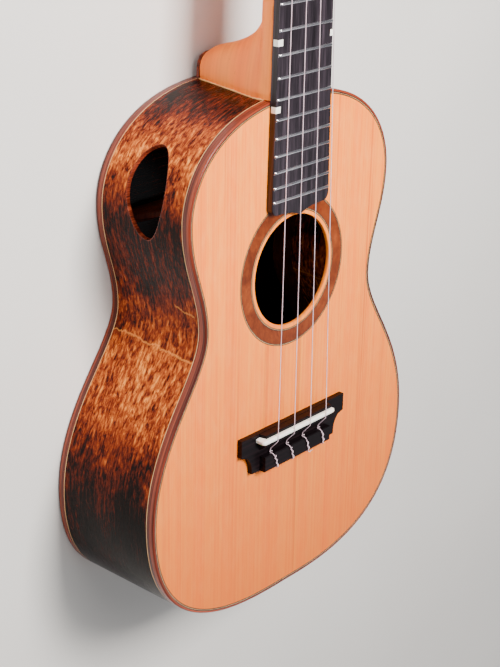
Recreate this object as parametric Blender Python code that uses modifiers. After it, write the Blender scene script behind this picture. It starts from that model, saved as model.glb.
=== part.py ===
"""Tenor-size four-string lute of the ukulele and charango family.

The body is a hollow box of thin plates and bent ribs on blocks and linings,
with an ebony fretboard and bridge, a neck with a carved heel, and a pair of
geared tuners on each side of the head.  Every piece is a separate solid.

Working frame: X across (treble side positive), Y up the neck from the saddle
line, Z out of the soundboard, whose top face is Z = 0.  The back tapers, so a
root empty tips the whole instrument until its flat back lies on world Z = 0.
Lengths are in millimetres and are turned into metres as meshes are made.
"""
import bpy
import bmesh
import math
from mathutils import Matrix, Vector

MM = 0.001
GAP = 0.3                 # glue or running gap between neighbouring pieces

# ---- scale and neck -------------------------------------------------------
SCALE = 432.0             # nut to saddle, 17 inch tenor scale
FRETS = 20
BODY_FRET = 14            # the neck meets the body at this fret
NUT_W = 37.0
SADDLE_W = 53.6           # fretboard edges produced down to the saddle line
BOARD_T = 4.0
BOARD_TOP = GAP + BOARD_T
NUT_L = 4.7
HEAD_Y = SCALE + GAP + NUT_L + GAP
HEAD_TILT = math.radians(12.0)
HEAD_L = 128.0
HEAD_T = 13.5

# ---- body outline (half, symmetric about X = 0) ---------------------------
TOP_Y, TAIL_Y = 192.6, -112.05
UPPER_X, UPPER_Y = 84.95, 134.5
WAIST_X, WAIST_Y = 71.95, 72.1
LOWER_X, LOWER_Y = 112.75, -31.9
SHOULDER_PULL, UPPER_PULL = 65.2, 24.0
UPPER_DROP, WAIST_RISE = 25.1, 21.9
WAIST_DROP, LOWER_RISE = 25.1, 51.5
LOWER_DROP, TAIL_PULL = 83.9, 29.1      # handle lengths
SEG = 12                                # steps per outline segment

BACK_AT_SADDLE = -75.15                 # outer face of the back at Y = 0
BACK_SLOPE = 0.04                       # the body grows shallower to the heel
PLATE_T = 2.2
RIB_T = 2.3
BIND_W, BIND_H = 2.3, 5.2
LINING_W, LINING_H = 5.0, 11.0

HOLE_Y, HOLE_R = 91.05, 32.4
ROSE_IN, ROSE_OUT, ROSE_T = 35.3, 44.5, 0.8

# ---- bridge ---------------------------------------------------------------
BR_X = 1.5
BR_HALF, BR_FRONT, BR_REAR = 46.3, 0.1, -23.8
WING_T, RAISED_T, TIE_T = 3.4, 8.1, 7.6
RAISED_HALF = 29.5
CHANNEL = (-14.3, -10.0)
SADDLE_X0, SADDLE_X1, SADDLE_Y0, SADDLE_Y1 = -33.0, 31.6, -4.85, -2.1   # compensated
SADDLE_TOP = 10.25
SADDLE_SPACING, NUT_SPACING = 14.54, 9.64
STRING_R = 0.36
STRING_AT_SADDLE, STRING_AT_NUT = SADDLE_TOP + GAP + STRING_R, 6.35 + GAP + STRING_R

# ---- tuners ---------------------------------------------------------------
TEETH = 13
GEAR_R = 4.2
PITCH = 2 * math.pi * GEAR_R / TEETH
GEAR_TIP, GEAR_ROOT, GEAR_W = 4.7, 3.5, 2.0
WORM_R, WORM_TIP, WORM_ROOT = 1.9, 2.45, 1.35
CENTRES = GEAR_TIP + WORM_ROOT + GAP + 0.02
POST_X, POST_U = 14.5, (34.0, 82.0)
POST_R, POST_H = 2.9, 13.5
PLANE_W = -(HEAD_T + GAP + 1.1 + GAP + WORM_TIP + 0.25)   # gears and worms
BUTTON_X = 44.0

COL = bpy.data.collections


def clear():
    for o in list(bpy.data.objects):
        bpy.data.objects.remove(o, do_unlink=True)
    for c in list(COL):
        COL.remove(c)


clear()
parts = COL.new("tenor_ukulele")
tools = COL.new("cutters")
bpy.context.scene.collection.children.link(parts)
bpy.context.scene.collection.children.link(tools)


def material(name, rgb, rough, metal=0.0):
    m = bpy.data.materials.new(name)
    m.use_nodes = True
    b = m.node_tree.nodes["Principled BSDF"]
    b.inputs["Base Color"].default_value = (*rgb, 1)
    b.inputs["Roughness"].default_value = rough
    b.inputs["Metallic"].default_value = metal
    m.diffuse_color = (*rgb, 1)
    return m


SPRUCE = material("spruce", (0.80, 0.45, 0.24), 0.42)
KOA = material("figured_side_wood", (0.36, 0.12, 0.04), 0.2)
ROSEWOOD = material("rosewood", (0.20, 0.06, 0.03), 0.3)
CEDAR = material("neck_wood", (0.74, 0.36, 0.16), 0.45)
EBONY = material("ebony", (0.03, 0.02, 0.022), 0.4)
BONE = material("bone", (0.86, 0.83, 0.76), 0.35)
NICKEL = material("fret_wire", (0.72, 0.72, 0.74), 0.25, 1.0)
CHROME = material("tuner_steel", (0.66, 0.66, 0.68), 0.2, 1.0)
BRASS = material("gear_brass", (0.62, 0.44, 0.18), 0.3, 1.0)
NYLON = material("string_nylon", (0.84, 0.82, 0.78), 0.3)
BLOCKWOOD = material("lining_wood", (0.62, 0.36, 0.20), 0.6)
ROSEBURL = material("rosette_wood", (0.42, 0.15, 0.06), 0.35)
PEARL = material("button", (0.80, 0.78, 0.72), 0.3)

# The root tips the instrument so that the back lies flat on world Z = 0.
PHI = -math.atan(BACK_SLOPE)
HEAD_END = HEAD_Y + HEAD_L * math.cos(HEAD_TILT)
LIFT = -BACK_AT_SADDLE * math.cos(PHI)


def world_y(y, z):
    return y * math.cos(PHI) - z * math.sin(PHI)


LOW_Y = world_y(TAIL_Y, BACK_AT_SADDLE + BACK_SLOPE * TAIL_Y)
HIGH_Y = world_y(HEAD_END, -HEAD_L * math.sin(HEAD_TILT))
root = bpy.data.objects.new("instrument_root", None)
parts.objects.link(root)
root.matrix_world = (Matrix.Translation((0, -(LOW_Y + HIGH_Y) / 2 * MM, LIFT * MM))
                     @ Matrix.Rotation(PHI, 4, "X"))


def add(name, bm, mat, where=None, local=None, smooth=30):
    """Turn a bmesh in millimetres into a named object under the root."""
    bmesh.ops.scale(bm, vec=(MM, MM, MM), verts=bm.verts)
    bmesh.ops.recalc_face_normals(bm, faces=bm.faces)
    me = bpy.data.meshes.new(name)
    bm.to_mesh(me)
    bm.free()
    ob = bpy.data.objects.new(name, me)
    (where or parts).objects.link(ob)
    if mat:
        me.materials.append(mat)
    ob.parent = root
    if local is not None:
        ob.matrix_local = local
    me.shade_smooth()
    me.set_sharp_from_angle(angle=math.radians(smooth))
    return ob


def hide_tool(ob):
    ob.hide_render = True
    ob.display_type = "WIRE"
    return ob


def boolean(ob, tool, op="DIFFERENCE"):
    m = ob.modifiers.new(tool.name, "BOOLEAN")
    m.object = tool
    m.operation = op
    m.solver = "EXACT"


def back_z(y):
    return BACK_AT_SADDLE + BACK_SLOPE * y


# ---- outline --------------------------------------------------------------
def bezier(a, b, c, d, n):
    for i in range(n):
        t = i / n
        s = 1 - t
        yield tuple(s * s * s * a[k] + 3 * s * s * t * b[k] + 3 * s * t * t * c[k]
                    + t * t * t * d[k] for k in (0, 1))


def half_outline():
    """Treble half from the heel centre down to the tail centre."""
    n0 = (0, TOP_Y), (SHOULDER_PULL, TOP_Y), (UPPER_X, UPPER_Y + UPPER_PULL), (UPPER_X, UPPER_Y)
    n1 = n0[3], (UPPER_X, UPPER_Y - UPPER_DROP), (WAIST_X, WAIST_Y + WAIST_RISE), (WAIST_X, WAIST_Y)
    n2 = n1[3], (WAIST_X, WAIST_Y - WAIST_DROP), (LOWER_X, LOWER_Y + LOWER_RISE), (LOWER_X, LOWER_Y)
    n3 = n2[3], (LOWER_X, LOWER_Y - LOWER_DROP), (TAIL_PULL, TAIL_Y), (0, TAIL_Y)
    pts = []
    for seg, n in ((n0, SEG), (n1, SEG * 2 // 3), (n2, SEG), (n3, SEG * 4 // 3)):
        pts += list(bezier(*seg, n))
    pts.append((0, TAIL_Y))
    return pts


HALF = half_outline()
RING = HALF + [(-x, y) for x, y in HALF[-2:0:-1]]      # clockwise from the heel


def inset(points, d, closed=True):
    """Offset a clockwise outline inwards by d."""
    out = []
    n = len(points)
    for i, p in enumerate(points):
        a = points[i - 1] if closed or i else points[0]
        b = points[(i + 1) % n] if closed or i < n - 1 else points[-1]
        tx, ty = b[0] - a[0], b[1] - a[1]
        if not closed and i == 0 and p[0] == 0:
            tx, ty = 1, 0
        if not closed and i == n - 1 and p[0] == 0:
            tx, ty = -1, 0
        l = math.hypot(tx, ty)
        out.append((p[0] + ty / l * d, p[1] - tx / l * d))
    return out


def loft_ring(name, outer, inner, z_hi, z_lo, mat):
    """A closed band between two outlines, from z_lo(y) up to z_hi(y)."""
    bm = bmesh.new()
    loops = []
    for pts, z in ((outer, z_hi), (inner, z_hi), (inner, z_lo), (outer, z_lo)):
        loops.append([bm.verts.new((x, y, z(y))) for x, y in pts])
    n = len(outer)
    for a in range(4):
        A, B = loops[a], loops[(a + 1) % 4]
        for i in range(n):
            j = (i + 1) % n
            bm.faces.new((A[i], A[j], B[j], B[i]))
    return add(name, bm, mat)


def loft_slab(name, pts, z_hi, z_lo, mat, where=None):
    """A plate with the outline pts between the surfaces z_lo(y) and z_hi(y)."""
    bm = bmesh.new()
    hi = [bm.verts.new((x, y, z_hi(y))) for x, y in pts]
    lo = [bm.verts.new((x, y, z_lo(y))) for x, y in pts]
    bm.faces.new(hi)
    bm.faces.new(lo[::-1])
    n = len(pts)
    for i in range(n):
        j = (i + 1) % n
        bm.faces.new((hi[i], hi[j], lo[j], lo[i]))
    return add(name, bm, mat, where)


def box(name, x0, x1, y0, y1, z0, z1, mat=None, where=None, bevel=0.0):
    bm = bmesh.new()
    bmesh.ops.create_cube(bm, size=1)
    bmesh.ops.scale(bm, vec=(x1 - x0, y1 - y0, z1 - z0), verts=bm.verts)
    bmesh.ops.translate(bm, vec=((x0 + x1) / 2, (y0 + y1) / 2, (z0 + z1) / 2), verts=bm.verts)
    ob = add(name, bm, mat, where)
    if bevel:
        m = ob.modifiers.new("edge", "BEVEL")
        m.width = bevel * MM
        m.segments = 1
        m.limit_method = "ANGLE"
    return ob


def rod(bm, r, a, b, n=16, axis="Z", r2=None):
    """A cylinder or cone from a to b along an axis through the origin."""
    m = Matrix.Translation((0, 0, (a + b) / 2))
    if axis == "X":
        m = Matrix.Rotation(math.pi / 2, 4, "Y") @ m
    if axis == "Y":
        m = Matrix.Rotation(-math.pi / 2, 4, "X") @ m
    return bmesh.ops.create_cone(bm, cap_ends=True, segments=n, radius1=r,
                                 radius2=r if r2 is None else r2, depth=b - a, matrix=m)["verts"]


def flat(value):
    return lambda y: value


def above_back(h):
    return lambda y: back_z(y) + h


# ---- body -----------------------------------------------------------------
def curve_plate(name, loops, z, thick, mat):
    """A flat plate from closed 2D loops; loops after the first are holes."""
    cu = bpy.data.curves.new(name, "CURVE")
    cu.dimensions = "2D"
    cu.fill_mode = "BOTH"
    cu.extrude = thick / 2 * MM
    cu.render_resolution_u = 0
    for pts in loops:
        sp = cu.splines.new("POLY")
        sp.points.add(len(pts) - 1)
        for q, (x, y) in zip(sp.points, pts):
            q.co = (x * MM, y * MM, 0, 1)
        sp.use_cyclic_u = True
    tmp = bpy.data.objects.new(name + "_curve", cu)
    parts.objects.link(tmp)
    bpy.context.view_layer.update()
    dg = bpy.context.evaluated_depsgraph_get()
    me = bpy.data.meshes.new_from_object(tmp.evaluated_get(dg))
    bm = bmesh.new()
    bm.from_mesh(me)
    bmesh.ops.remove_doubles(bm, verts=bm.verts, dist=0.000001)
    bmesh.ops.scale(bm, vec=(1000, 1000, 1000), verts=bm.verts)
    bmesh.ops.translate(bm, vec=(0, 0, z), verts=bm.verts)
    bpy.data.objects.remove(tmp)
    bpy.data.meshes.remove(me)
    return add(name, bm, mat)


def circle(cx, cy, r, n):
    return [(cx + r * math.sin(2 * math.pi * i / n), cy + r * math.cos(2 * math.pi * i / n))
            for i in range(n)]


board = curve_plate("soundboard", [inset(RING, BIND_W + GAP), circle(0, HOLE_Y, HOLE_R, 40)],
                    -PLATE_T / 2, PLATE_T, SPRUCE)
groove = loft_ring("rosette_groove", circle(0, HOLE_Y, ROSE_OUT, 40), circle(0, HOLE_Y, ROSE_IN, 40),
                   flat(2), flat(-ROSE_T - GAP), None)
parts.objects.unlink(groove)
tools.objects.link(groove)
boolean(board, hide_tool(groove))
loft_ring("rosette", circle(0, HOLE_Y, ROSE_OUT - GAP, 40), circle(0, HOLE_Y, ROSE_IN + GAP, 40),
          flat(0), flat(-ROSE_T), ROSEBURL)
loft_slab("back_plate", inset(RING, BIND_W + GAP), above_back(PLATE_T), above_back(0), KOA)
loft_ring("binding_top", RING, inset(RING, BIND_W), flat(0), flat(-BIND_H), ROSEWOOD)
loft_ring("binding_back", RING, inset(RING, BIND_W), above_back(BIND_H), above_back(0), ROSEWOOD)


def rib(name, side):
    """One bent side: an open strip along half the outline, thickened inwards."""
    bm = bmesh.new()
    pts = [(side * x, y) for x, y in HALF]
    pts[0] = (side * GAP / 2, pts[0][1])
    pts[-1] = (side * GAP / 2, pts[-1][1])
    hi = [bm.verts.new((x, y, -BIND_H - GAP)) for x, y in pts]
    lo = [bm.verts.new((x, y, back_z(y) + BIND_H + GAP)) for x, y in pts]
    for i in range(len(pts) - 1):
        f = (hi[i], hi[i + 1], lo[i + 1], lo[i])
        bm.faces.new(f if side > 0 else f[::-1])
    bmesh.ops.scale(bm, vec=(MM, MM, MM), verts=bm.verts)
    me = bpy.data.meshes.new(name)
    bm.to_mesh(me)
    bm.free()
    me.materials.append(KOA)
    ob = bpy.data.objects.new(name, me)
    parts.objects.link(ob)
    ob.parent = root
    me.shade_smooth()
    me.set_sharp_from_angle(angle=math.radians(30))
    m = ob.modifiers.new("thickness", "SOLIDIFY")
    m.thickness = RIB_T * MM
    m.offset = -1
    m.use_even_offset = True
    return ob


side_treble = rib("side_treble", 1)
side_bass = rib("side_bass", -1)

# Sound port: a rounded triangle in the bass side of the upper bout.  It is
# drawn on the rib in arc length along the outline and height, then pushed
# through the rib square to the surface.
PORT_S, PORT_Z = 101.5, -34.0          # centre: arc length from the heel, height


def arc_point(pts, s):
    for a, b in zip(pts, pts[1:]):
        l = math.dist(a, b)
        if s <= l:
            t = s / l
            return ((a[0] + (b[0] - a[0]) * t, a[1] + (b[1] - a[1]) * t),
                    ((b[0] - a[0]) / l, (b[1] - a[1]) / l))
        s -= l
    return pts[-1], (0, -1)


def port_curve(n=42):
    """Closed port outline as (arc length, height) about its centre.

    Blunt towards the heel and narrow towards the waist, with full curves
    through the nodes.
    """
    nodes = [(-26.9, -1.2), (-25.2, 4.8), (-17.9, 10.1), (-8.0, 13.6), (2.5, 14.6), (12.5, 12.8),
             (21.0, 9.2), (26.6, 3.6), (25.2, -3.0), (18.0, -8.4), (7.0, -12.4), (-4.0, -13.4),
             (-14.8, -11.4), (-22.6, -7.3)]
    pts = []
    k = len(nodes)
    for i in range(k):
        p, a, d, q = (nodes[(i + j) % k] for j in (-1, 0, 1, 2))
        b = [a[c] + (d[c] - p[c]) / 6 for c in (0, 1)]
        e = [d[c] - (q[c] - a[c]) / 6 for c in (0, 1)]
        pts += list(bezier(a, b, e, d, n // k))
    return pts


def port_cutter():
    bm = bmesh.new()
    rows = []
    for depth in (-16, 8):
        row = []
        for s, h in port_curve():
            (x, y), (tx, ty) = arc_point(HALF, PORT_S + s)
            (cx, cy), (ux, uy) = arc_point(HALF, PORT_S)
            nx, ny = ty, -tx
            row.append(bm.verts.new((-(x + nx * depth), y + ny * depth, PORT_Z + h)))
        rows.append(row)
    n = len(rows[0])
    for i in range(n):
        j = (i + 1) % n
        bm.faces.new((rows[0][i], rows[0][j], rows[1][j], rows[1][i]))
    bm.faces.new(rows[0])
    bm.faces.new(rows[1][::-1])
    return hide_tool(add("port_cutter", bm, None, tools))


boolean(side_bass, port_cutter())


def arc_piece(name, side, first, last, w0, w1, z_hi, z_lo, mat):
    """A strip glued inside the ribs between two positions on the outline."""
    bm = bmesh.new()
    a = inset(RING, w0)[first:last]
    b = inset(RING, w1)[first:last]
    rows = []
    for pts, z in ((a, z_hi), (b, z_hi), (b, z_lo), (a, z_lo)):
        rows.append([bm.verts.new((side * x, y, z(y))) for x, y in pts])
    for i in range(len(a) - 1):
        for k in range(4):
            A, B = rows[k], rows[(k + 1) % 4]
            bm.faces.new((A[i], A[i + 1], B[i + 1], B[i]))
    bm.faces.new([r[0] for r in rows])
    bm.faces.new([r[-1] for r in rows][::-1])
    return add(name, bm, mat)


W0 = BIND_W + GAP
FIRST = next(i for i, p in enumerate(HALF) if p[0] > 34)
LAST = next(i for i in range(len(HALF) - 1, 0, -1) if HALF[i][0] > 32)
for tag, side in (("bass", -1), ("treble", 1)):
    arc_piece(f"lining_top_{tag}", side, FIRST, LAST + 1, W0, W0 + LINING_W,
              flat(-PLATE_T - GAP), flat(-PLATE_T - GAP - LINING_H), BLOCKWOOD)
    arc_piece(f"lining_back_{tag}", side, FIRST, LAST + 1, W0, W0 + LINING_W,
              above_back(PLATE_T + GAP + LINING_H), above_back(PLATE_T + GAP), BLOCKWOOD)


def block(name, at_tail, half, deep):
    pts = [p for p in inset(RING, W0) if abs(p[0]) < half and (p[1] < 0) == at_tail]
    pts.sort(key=lambda p: p[0])
    y = (min if not at_tail else max)(p[1] for p in pts)
    far = y - deep if not at_tail else y + deep
    pts = pts + [(pts[-1][0], far), (pts[0][0], far)]
    return loft_slab(name, pts, flat(-PLATE_T - GAP), above_back(PLATE_T + GAP), BLOCKWOOD)


block("neck_block", False, 31, 30)
block("tail_block", True, 30, 16)


def brace(name, x0, y0, x1, y1, w, h, z_hi, z_lo, mat=BLOCKWOOD):
    """A bar from point to point, its free edge narrowed and its ends scalloped."""
    bm = bmesh.new()
    L = math.hypot(x1 - x0, y1 - y0)
    ux, uy = (x1 - x0) / L, (y1 - y0) / L
    rows = []
    for s, k in ((0, 0.3), (0.16, 1.0), (0.84, 1.0), (1, 0.3)):
        row = []
        for side, f in ((1, 0), (1, 0.55), (0.35, 1), (-0.35, 1), (-1, 0.55), (-1, 0)):
            px = x0 + ux * L * s - uy * side * w / 2
            py = y0 + uy * L * s + ux * side * w / 2
            z = z_hi(py) - f * h * k if z_hi else z_lo(py) + f * h * k
            row.append(bm.verts.new((px, py, z)))
        rows.append(row)
    n = 6
    for a, b in zip(rows, rows[1:]):
        for i in range(n):
            j = (i + 1) % n
            bm.faces.new((a[i], a[j], b[j], b[i]))
    bm.faces.new(rows[0])
    bm.faces.new(rows[-1][::-1])
    return add(name, bm, mat)


UNDER = flat(-PLATE_T - GAP)
brace("brace_top_upper", -73, 136.5, 73, 136.5, 7, 10, UNDER, None)
brace("brace_top_lower", -63, 48, 63, 48, 7, 12, UNDER, None)
brace("brace_fan_bass", -16, 40, -34, -84, 5.5, 6, UNDER, None)
brace("brace_fan_treble", 16, 40, 34, -84, 5.5, 6, UNDER, None)
brace("brace_back_upper", -71, 122, 71, 122, 8, 10, None, above_back(PLATE_T + GAP))
brace("brace_back_lower", -101, -20, 101, -20, 8, 11, None, above_back(PLATE_T + GAP))

# ---- neck with heel and head ------------------------------------------------
HEAD = Matrix.Translation((0, HEAD_Y, 0)) @ Matrix.Rotation(-HEAD_TILT, 4, "X")


def place(x, u, w, turn=0.0):
    """Local matrix of a tuner piece in the head's own frame."""
    m = HEAD @ Matrix.Translation((x, u, w)) @ Matrix.Rotation(turn, 4, "Z")
    m.translation = m.translation * MM
    return m


def board_half(y):
    return (NUT_W + (SADDLE_W - NUT_W) * (SCALE - y) / SCALE) / 2


def spow(v, e):
    return math.copysign(abs(v) ** e, v)


def neck_loft():
    """Sections from the body joint to the crown of the head."""
    bm = bmesh.new()
    n = 12
    stations = []
    for y, d in ((TOP_Y + GAP, 17.5), (225, 17.0), (262, 16.2), (320, 15.2), (380, 14.4), (425, 13.8)):
        stations.append((Matrix.Translation((0, y, 0)), board_half(y), d, 0.92, 0.80))
    y = HEAD_Y - 0.4
    stations.append((Matrix.Translation((0, y, 0)), board_half(SCALE), 13.6, 0.85, 0.72))
    for u, w, d, e in ((5, 18.7, 13.5, 0.55), (13, 21.6, HEAD_T, 0.22), (22, 25.6, HEAD_T, 0.12),
                       (30, 27.2, HEAD_T, 0.12), (52, 26.4, HEAD_T, 0.12), (78, 26.8, HEAD_T, 0.12),
                       (104, 29.2, HEAD_T, 0.12), (114, 29.0, HEAD_T, 0.12), (120, 26.5, HEAD_T, 0.12),
                       (125, 20.5, HEAD_T, 0.12), (HEAD_L, 9.5, HEAD_T, 0.12)):
        stations.append((HEAD @ Matrix.Translation((0, u, 0)), w, d, e, e))
    rows = []
    for m, hw, d, e1, e2 in stations:
        row = []
        for k in range(n + 1):
            a = math.pi * k / n
            if 0 < k < n:
                p = Vector((hw * spow(math.cos(a), e1), 0, -d * spow(math.sin(a), e2)))
            else:
                p = Vector((hw * (1 if k == 0 else -1), 0, 0))
            row.append(bm.verts.new(m @ p))
        rows.append(row)
    for a, b in zip(rows, rows[1:]):
        for i in range(n + 1):
            j = (i + 1) % (n + 1)
            bm.faces.new((a[i], a[j], b[j], b[i]))
    bm.faces.new(rows[0])
    bm.faces.new(rows[-1][::-1])
    return add("neck", bm, CEDAR, smooth=40)


HEEL = ((-11.5, 262, 1.5), (-14.5, 252, 1.45), (-17.0, 243, 1.35), (-20.0, 233.5, 1.2),
        (-24.0, 226, 1.02), (-30.0, 220.6, 0.88), (-38.0, 216.4, 0.78), (-48.0, 212.8, 0.7),
        (-56.0, 210.2, 0.66), (-61.0, 206.8, 0.64))
HEEL_CAP_T = 1.9


def heel_half(z):
    return min(23.0, 25.4 + 0.2 * z) if z > -80 else 10


def heel_section(p, e, b, n=12):
    y0 = TOP_Y + GAP
    return [(b * spow(math.cos(math.pi * k / n), e),
             y0 + (p - y0) * (0 if k in (0, n) else spow(math.sin(math.pi * k / n), e)))
            for k in range(n + 1)]


def heel_loft():
    bm = bmesh.new()
    rows = []
    for z, p, e in HEEL:
        b = heel_half(z) - (2.0 if z > -13 else 0.0)
        rows.append([bm.verts.new((x, y, z)) for x, y in heel_section(p, e, b)])
    n = len(rows[0])
    for a, b in zip(rows, rows[1:]):
        for i in range(n):
            j = (i + 1) % n
            bm.faces.new((a[i], a[j], b[j], b[i]))
    bm.faces.new(rows[0])
    bm.faces.new(rows[-1][::-1])
    return hide_tool(add("heel_shape", bm, None, tools))


neck = neck_loft()
boolean(neck, heel_loft(), "UNION")
loft_slab("heel_cap", heel_section(206.6, 0.64, heel_half(-61.5) - 0.2), flat(-61.0 - GAP),
          flat(-61.0 - GAP - HEEL_CAP_T), ROSEWOOD)

# post holes through the head
for side in (-1, 1):
    for k, u in enumerate(POST_U):
        bm = bmesh.new()
        rod(bm, POST_R + GAP + 0.05, -HEAD_T - 5, 5, 16)
        t = hide_tool(add(f"post_hole_{side}_{k}", bm, None, tools))
        t.matrix_local = place(side * POST_X, u, 0)
        boolean(neck, t)

# ---- fretboard, frets, nut ------------------------------------------------
END_Y = 128.4             # shoulders of the shaped end over the soundhole


def end_shape():
    """Fretboard end, treble to bass: round corners, hollows and a centre tip."""
    w = board_half(END_Y)
    pts = []
    for (x, y) in ((w, END_Y + 6.0), (w - 0.4, END_Y + 3.0), (w - 1.8, END_Y + 1.0), (w - 4.2, END_Y)):
        pts.append((x, y))
    for k in range(1, 6):
        t = k / 6
        pts.append((w - 4.2 - (w - 6.8) * t, END_Y - 0.2 * t - 2.3 * t ** 3))
    pts.append((2.0, END_Y - 2.9))
    pts.append((0.0, END_Y - 3.3))
    return pts + [(-x, y) for x, y in pts[-2::-1]]


loft_slab("fretboard", [(NUT_W / 2, SCALE)] + end_shape() + [(-NUT_W / 2, SCALE)],
          flat(BOARD_TOP), flat(GAP), EBONY)


def fret_mesh(name, y):
    """Half-round wire with bevelled ends across the board."""
    hw = board_half(y) - 0.4
    bm = bmesh.new()
    rows = []
    for x, k in ((-hw, 0.0), (-hw + 0.7, 1.0), (hw - 0.7, 1.0), (hw, 0.0)):
        row = []
        for a, b in ((-1.05, 0), (-0.8, 0.55), (-0.3, 0.95), (0.3, 0.95), (0.8, 0.55), (1.05, 0)):
            row.append(bm.verts.new((x, y + a, BOARD_TOP + GAP + b * (0.25 + 0.75 * k))))
        rows.append(row)
    for a, b in zip(rows, rows[1:]):
        for i in range(6):
            j = (i + 1) % 6
            bm.faces.new((a[i], a[j], b[j], b[i]))
    bm.faces.new(rows[0])
    bm.faces.new(rows[-1][::-1])
    return add(name, bm, NICKEL)


for n in range(1, FRETS + 1):
    fret_mesh(f"fret_{n:02d}", SCALE * 2 ** (-n / 12))

nut = box("nut", -NUT_W / 2, NUT_W / 2, SCALE + GAP, SCALE + GAP + NUT_L, GAP, 7.1, BONE)
for k in range(4):
    x = (k - 1.5) * NUT_SPACING
    t = box(f"nut_slot_{k + 1}", x - 0.68, x + 0.68, SCALE - 4, SCALE + 12, 6.35, 12, None, tools)
    boolean(nut, hide_tool(t))

# ---- bridge and saddle ------------------------------------------------------


def bridge_plan():
    """Treble half: square end, concave step, then the straight rear edge."""
    pts = [(BR_HALF, BR_FRONT), (BR_HALF, -10.7), (BR_HALF - 3.0, -11.6)]
    for k in range(1, 6):
        a = math.pi / 2 * k / 6
        pts.append((BR_HALF - 3.0 - 5.95 * math.sin(a), -11.6 - 10.1 * (1 - math.cos(a)) ** 0.85))
    pts += [(BR_HALF - 8.95, -21.9), (BR_HALF - 9.15, BR_REAR)]
    return [(BR_X + x, y) for x, y in pts] + [(BR_X - x, y) for x, y in pts[::-1]]


bridge = loft_slab("bridge", bridge_plan(), flat(WING_T), flat(GAP), EBONY)


def wedge(name, prof, x0, x1, ramp):
    """A bar along X with the (y, z) profile prof; its ends lean by ramp."""
    bm = bmesh.new()
    a = [bm.verts.new((x0 - ramp * (RAISED_T - z) / RAISED_T, y, z)) for y, z in prof]
    b = [bm.verts.new((x1 + ramp * (RAISED_T - z) / RAISED_T, y, z)) for y, z in prof]
    n = len(prof)
    for i in range(n):
        j = (i + 1) % n
        bm.faces.new((a[i], a[j], b[j], b[i]))
    bm.faces.new(a[::-1])
    bm.faces.new(b)
    return hide_tool(add(name, bm, None, tools))


RAISED = [(BR_FRONT - 0.05, 1.0), (BR_FRONT - 0.4, RAISED_T - 0.4), (BR_FRONT - 0.8, RAISED_T),
          (-7.0, RAISED_T - 0.3), (-10.0, WING_T + 0.6), (-10.0, 1.0)]
TIE = [(CHANNEL[0], 1.0), (CHANNEL[0], TIE_T - 0.3), (CHANNEL[0] - 0.4, TIE_T), (BR_REAR + 0.6, TIE_T),
       (BR_REAR + 0.05, TIE_T - 0.5), (BR_REAR + 0.05, 1.0)]
boolean(bridge, wedge("raised_block", RAISED, 0.7 - RAISED_HALF, 0.7 + RAISED_HALF, 2.0), "UNION")
boolean(bridge, wedge("tie_block", TIE, 0.7 - RAISED_HALF, 0.7 + RAISED_HALF, 0.6), "UNION")
slot = box("saddle_slot", SADDLE_X0 - GAP, SADDLE_X1 + GAP, SADDLE_Y0 - GAP, SADDLE_Y1 + GAP,
           3.7, 20, None, tools)
boolean(bridge, hide_tool(slot))
HOLE_Z = 4.9
for k in range(4):
    bm = bmesh.new()
    rod(bm, 0.95, -15, 15, 10, "Y")
    t = hide_tool(add(f"tie_hole_{k + 1}", bm, None, tools))
    t.location = (((k - 1.5) * SADDLE_SPACING + 0.3) * MM, -18 * MM, HOLE_Z * MM)
    boolean(bridge, t)
saddle = box("saddle", SADDLE_X0, SADDLE_X1, SADDLE_Y0, SADDLE_Y1, 4.0, SADDLE_TOP, BONE, bevel=0.8)

# ---- strings ----------------------------------------------------------------


def poly_tube(name, pts, r, mat):
    cu = bpy.data.curves.new(name, "CURVE")
    cu.dimensions = "3D"
    cu.bevel_depth = r * MM
    cu.bevel_resolution = 2
    cu.render_resolution_u = 0
    cu.use_fill_caps = True
    sp = cu.splines.new("POLY")
    sp.points.add(len(pts) - 1)
    for q, p in zip(sp.points, pts):
        q.co = (p[0] * MM, p[1] * MM, p[2] * MM, 1)
    cu.materials.append(mat)
    ob = bpy.data.objects.new(name, cu)
    parts.objects.link(ob)
    ob.parent = root
    return ob


def string_points(k):
    """From behind the tie block, over saddle and nut, then round the post."""
    xs = (k - 1.5) * SADDLE_SPACING + 0.3
    xn = (k - 1.5) * NUT_SPACING
    side = -1 if k < 2 else 1
    u = POST_U[0] if k in (0, 3) else POST_U[1]
    rr = POST_R + GAP + STRING_R + 0.1
    pts = [(xs, BR_REAR - 1.2, HOLE_Z), (xs, CHANNEL[1] - 2.0, HOLE_Z), (xs, CHANNEL[1] - 0.9, HOLE_Z + 0.6),
           (xs, SADDLE_Y0 - 0.6, STRING_AT_SADDLE - 0.25), (xs, (SADDLE_Y0 + SADDLE_Y1) / 2, STRING_AT_SADDLE),
           (xn, SCALE + GAP, STRING_AT_NUT), (xn, SCALE + GAP + NUT_L, STRING_AT_NUT - 0.1)]
    # tangent to the post on its inner side, then two turns downwards
    post = Vector((side * POST_X, u, 0))
    w0 = 8.4
    turns, n = 1.5, 10
    lead = HEAD.inverted() @ Vector(pts[-1])
    dx, dy = post.x - lead.x, post.y - lead.y
    dist = math.hypot(dx, dy)
    base = math.atan2(-dy, -dx)
    off = math.acos(rr / dist)
    start = base - off * side
    for i in range(int(turns * n) + 1):
        a = start - side * 2 * math.pi * i / n
        w = w0 - i / n * (2 * STRING_R + 0.12)
        pts.append(tuple(HEAD @ Vector((post.x + rr * math.cos(a), post.y + rr * math.sin(a), w))))
    return pts


for k in range(4):
    poly_tube(f"string_{k + 1}", string_points(k), STRING_R, NYLON)

# ---- tuners ---------------------------------------------------------------


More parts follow.
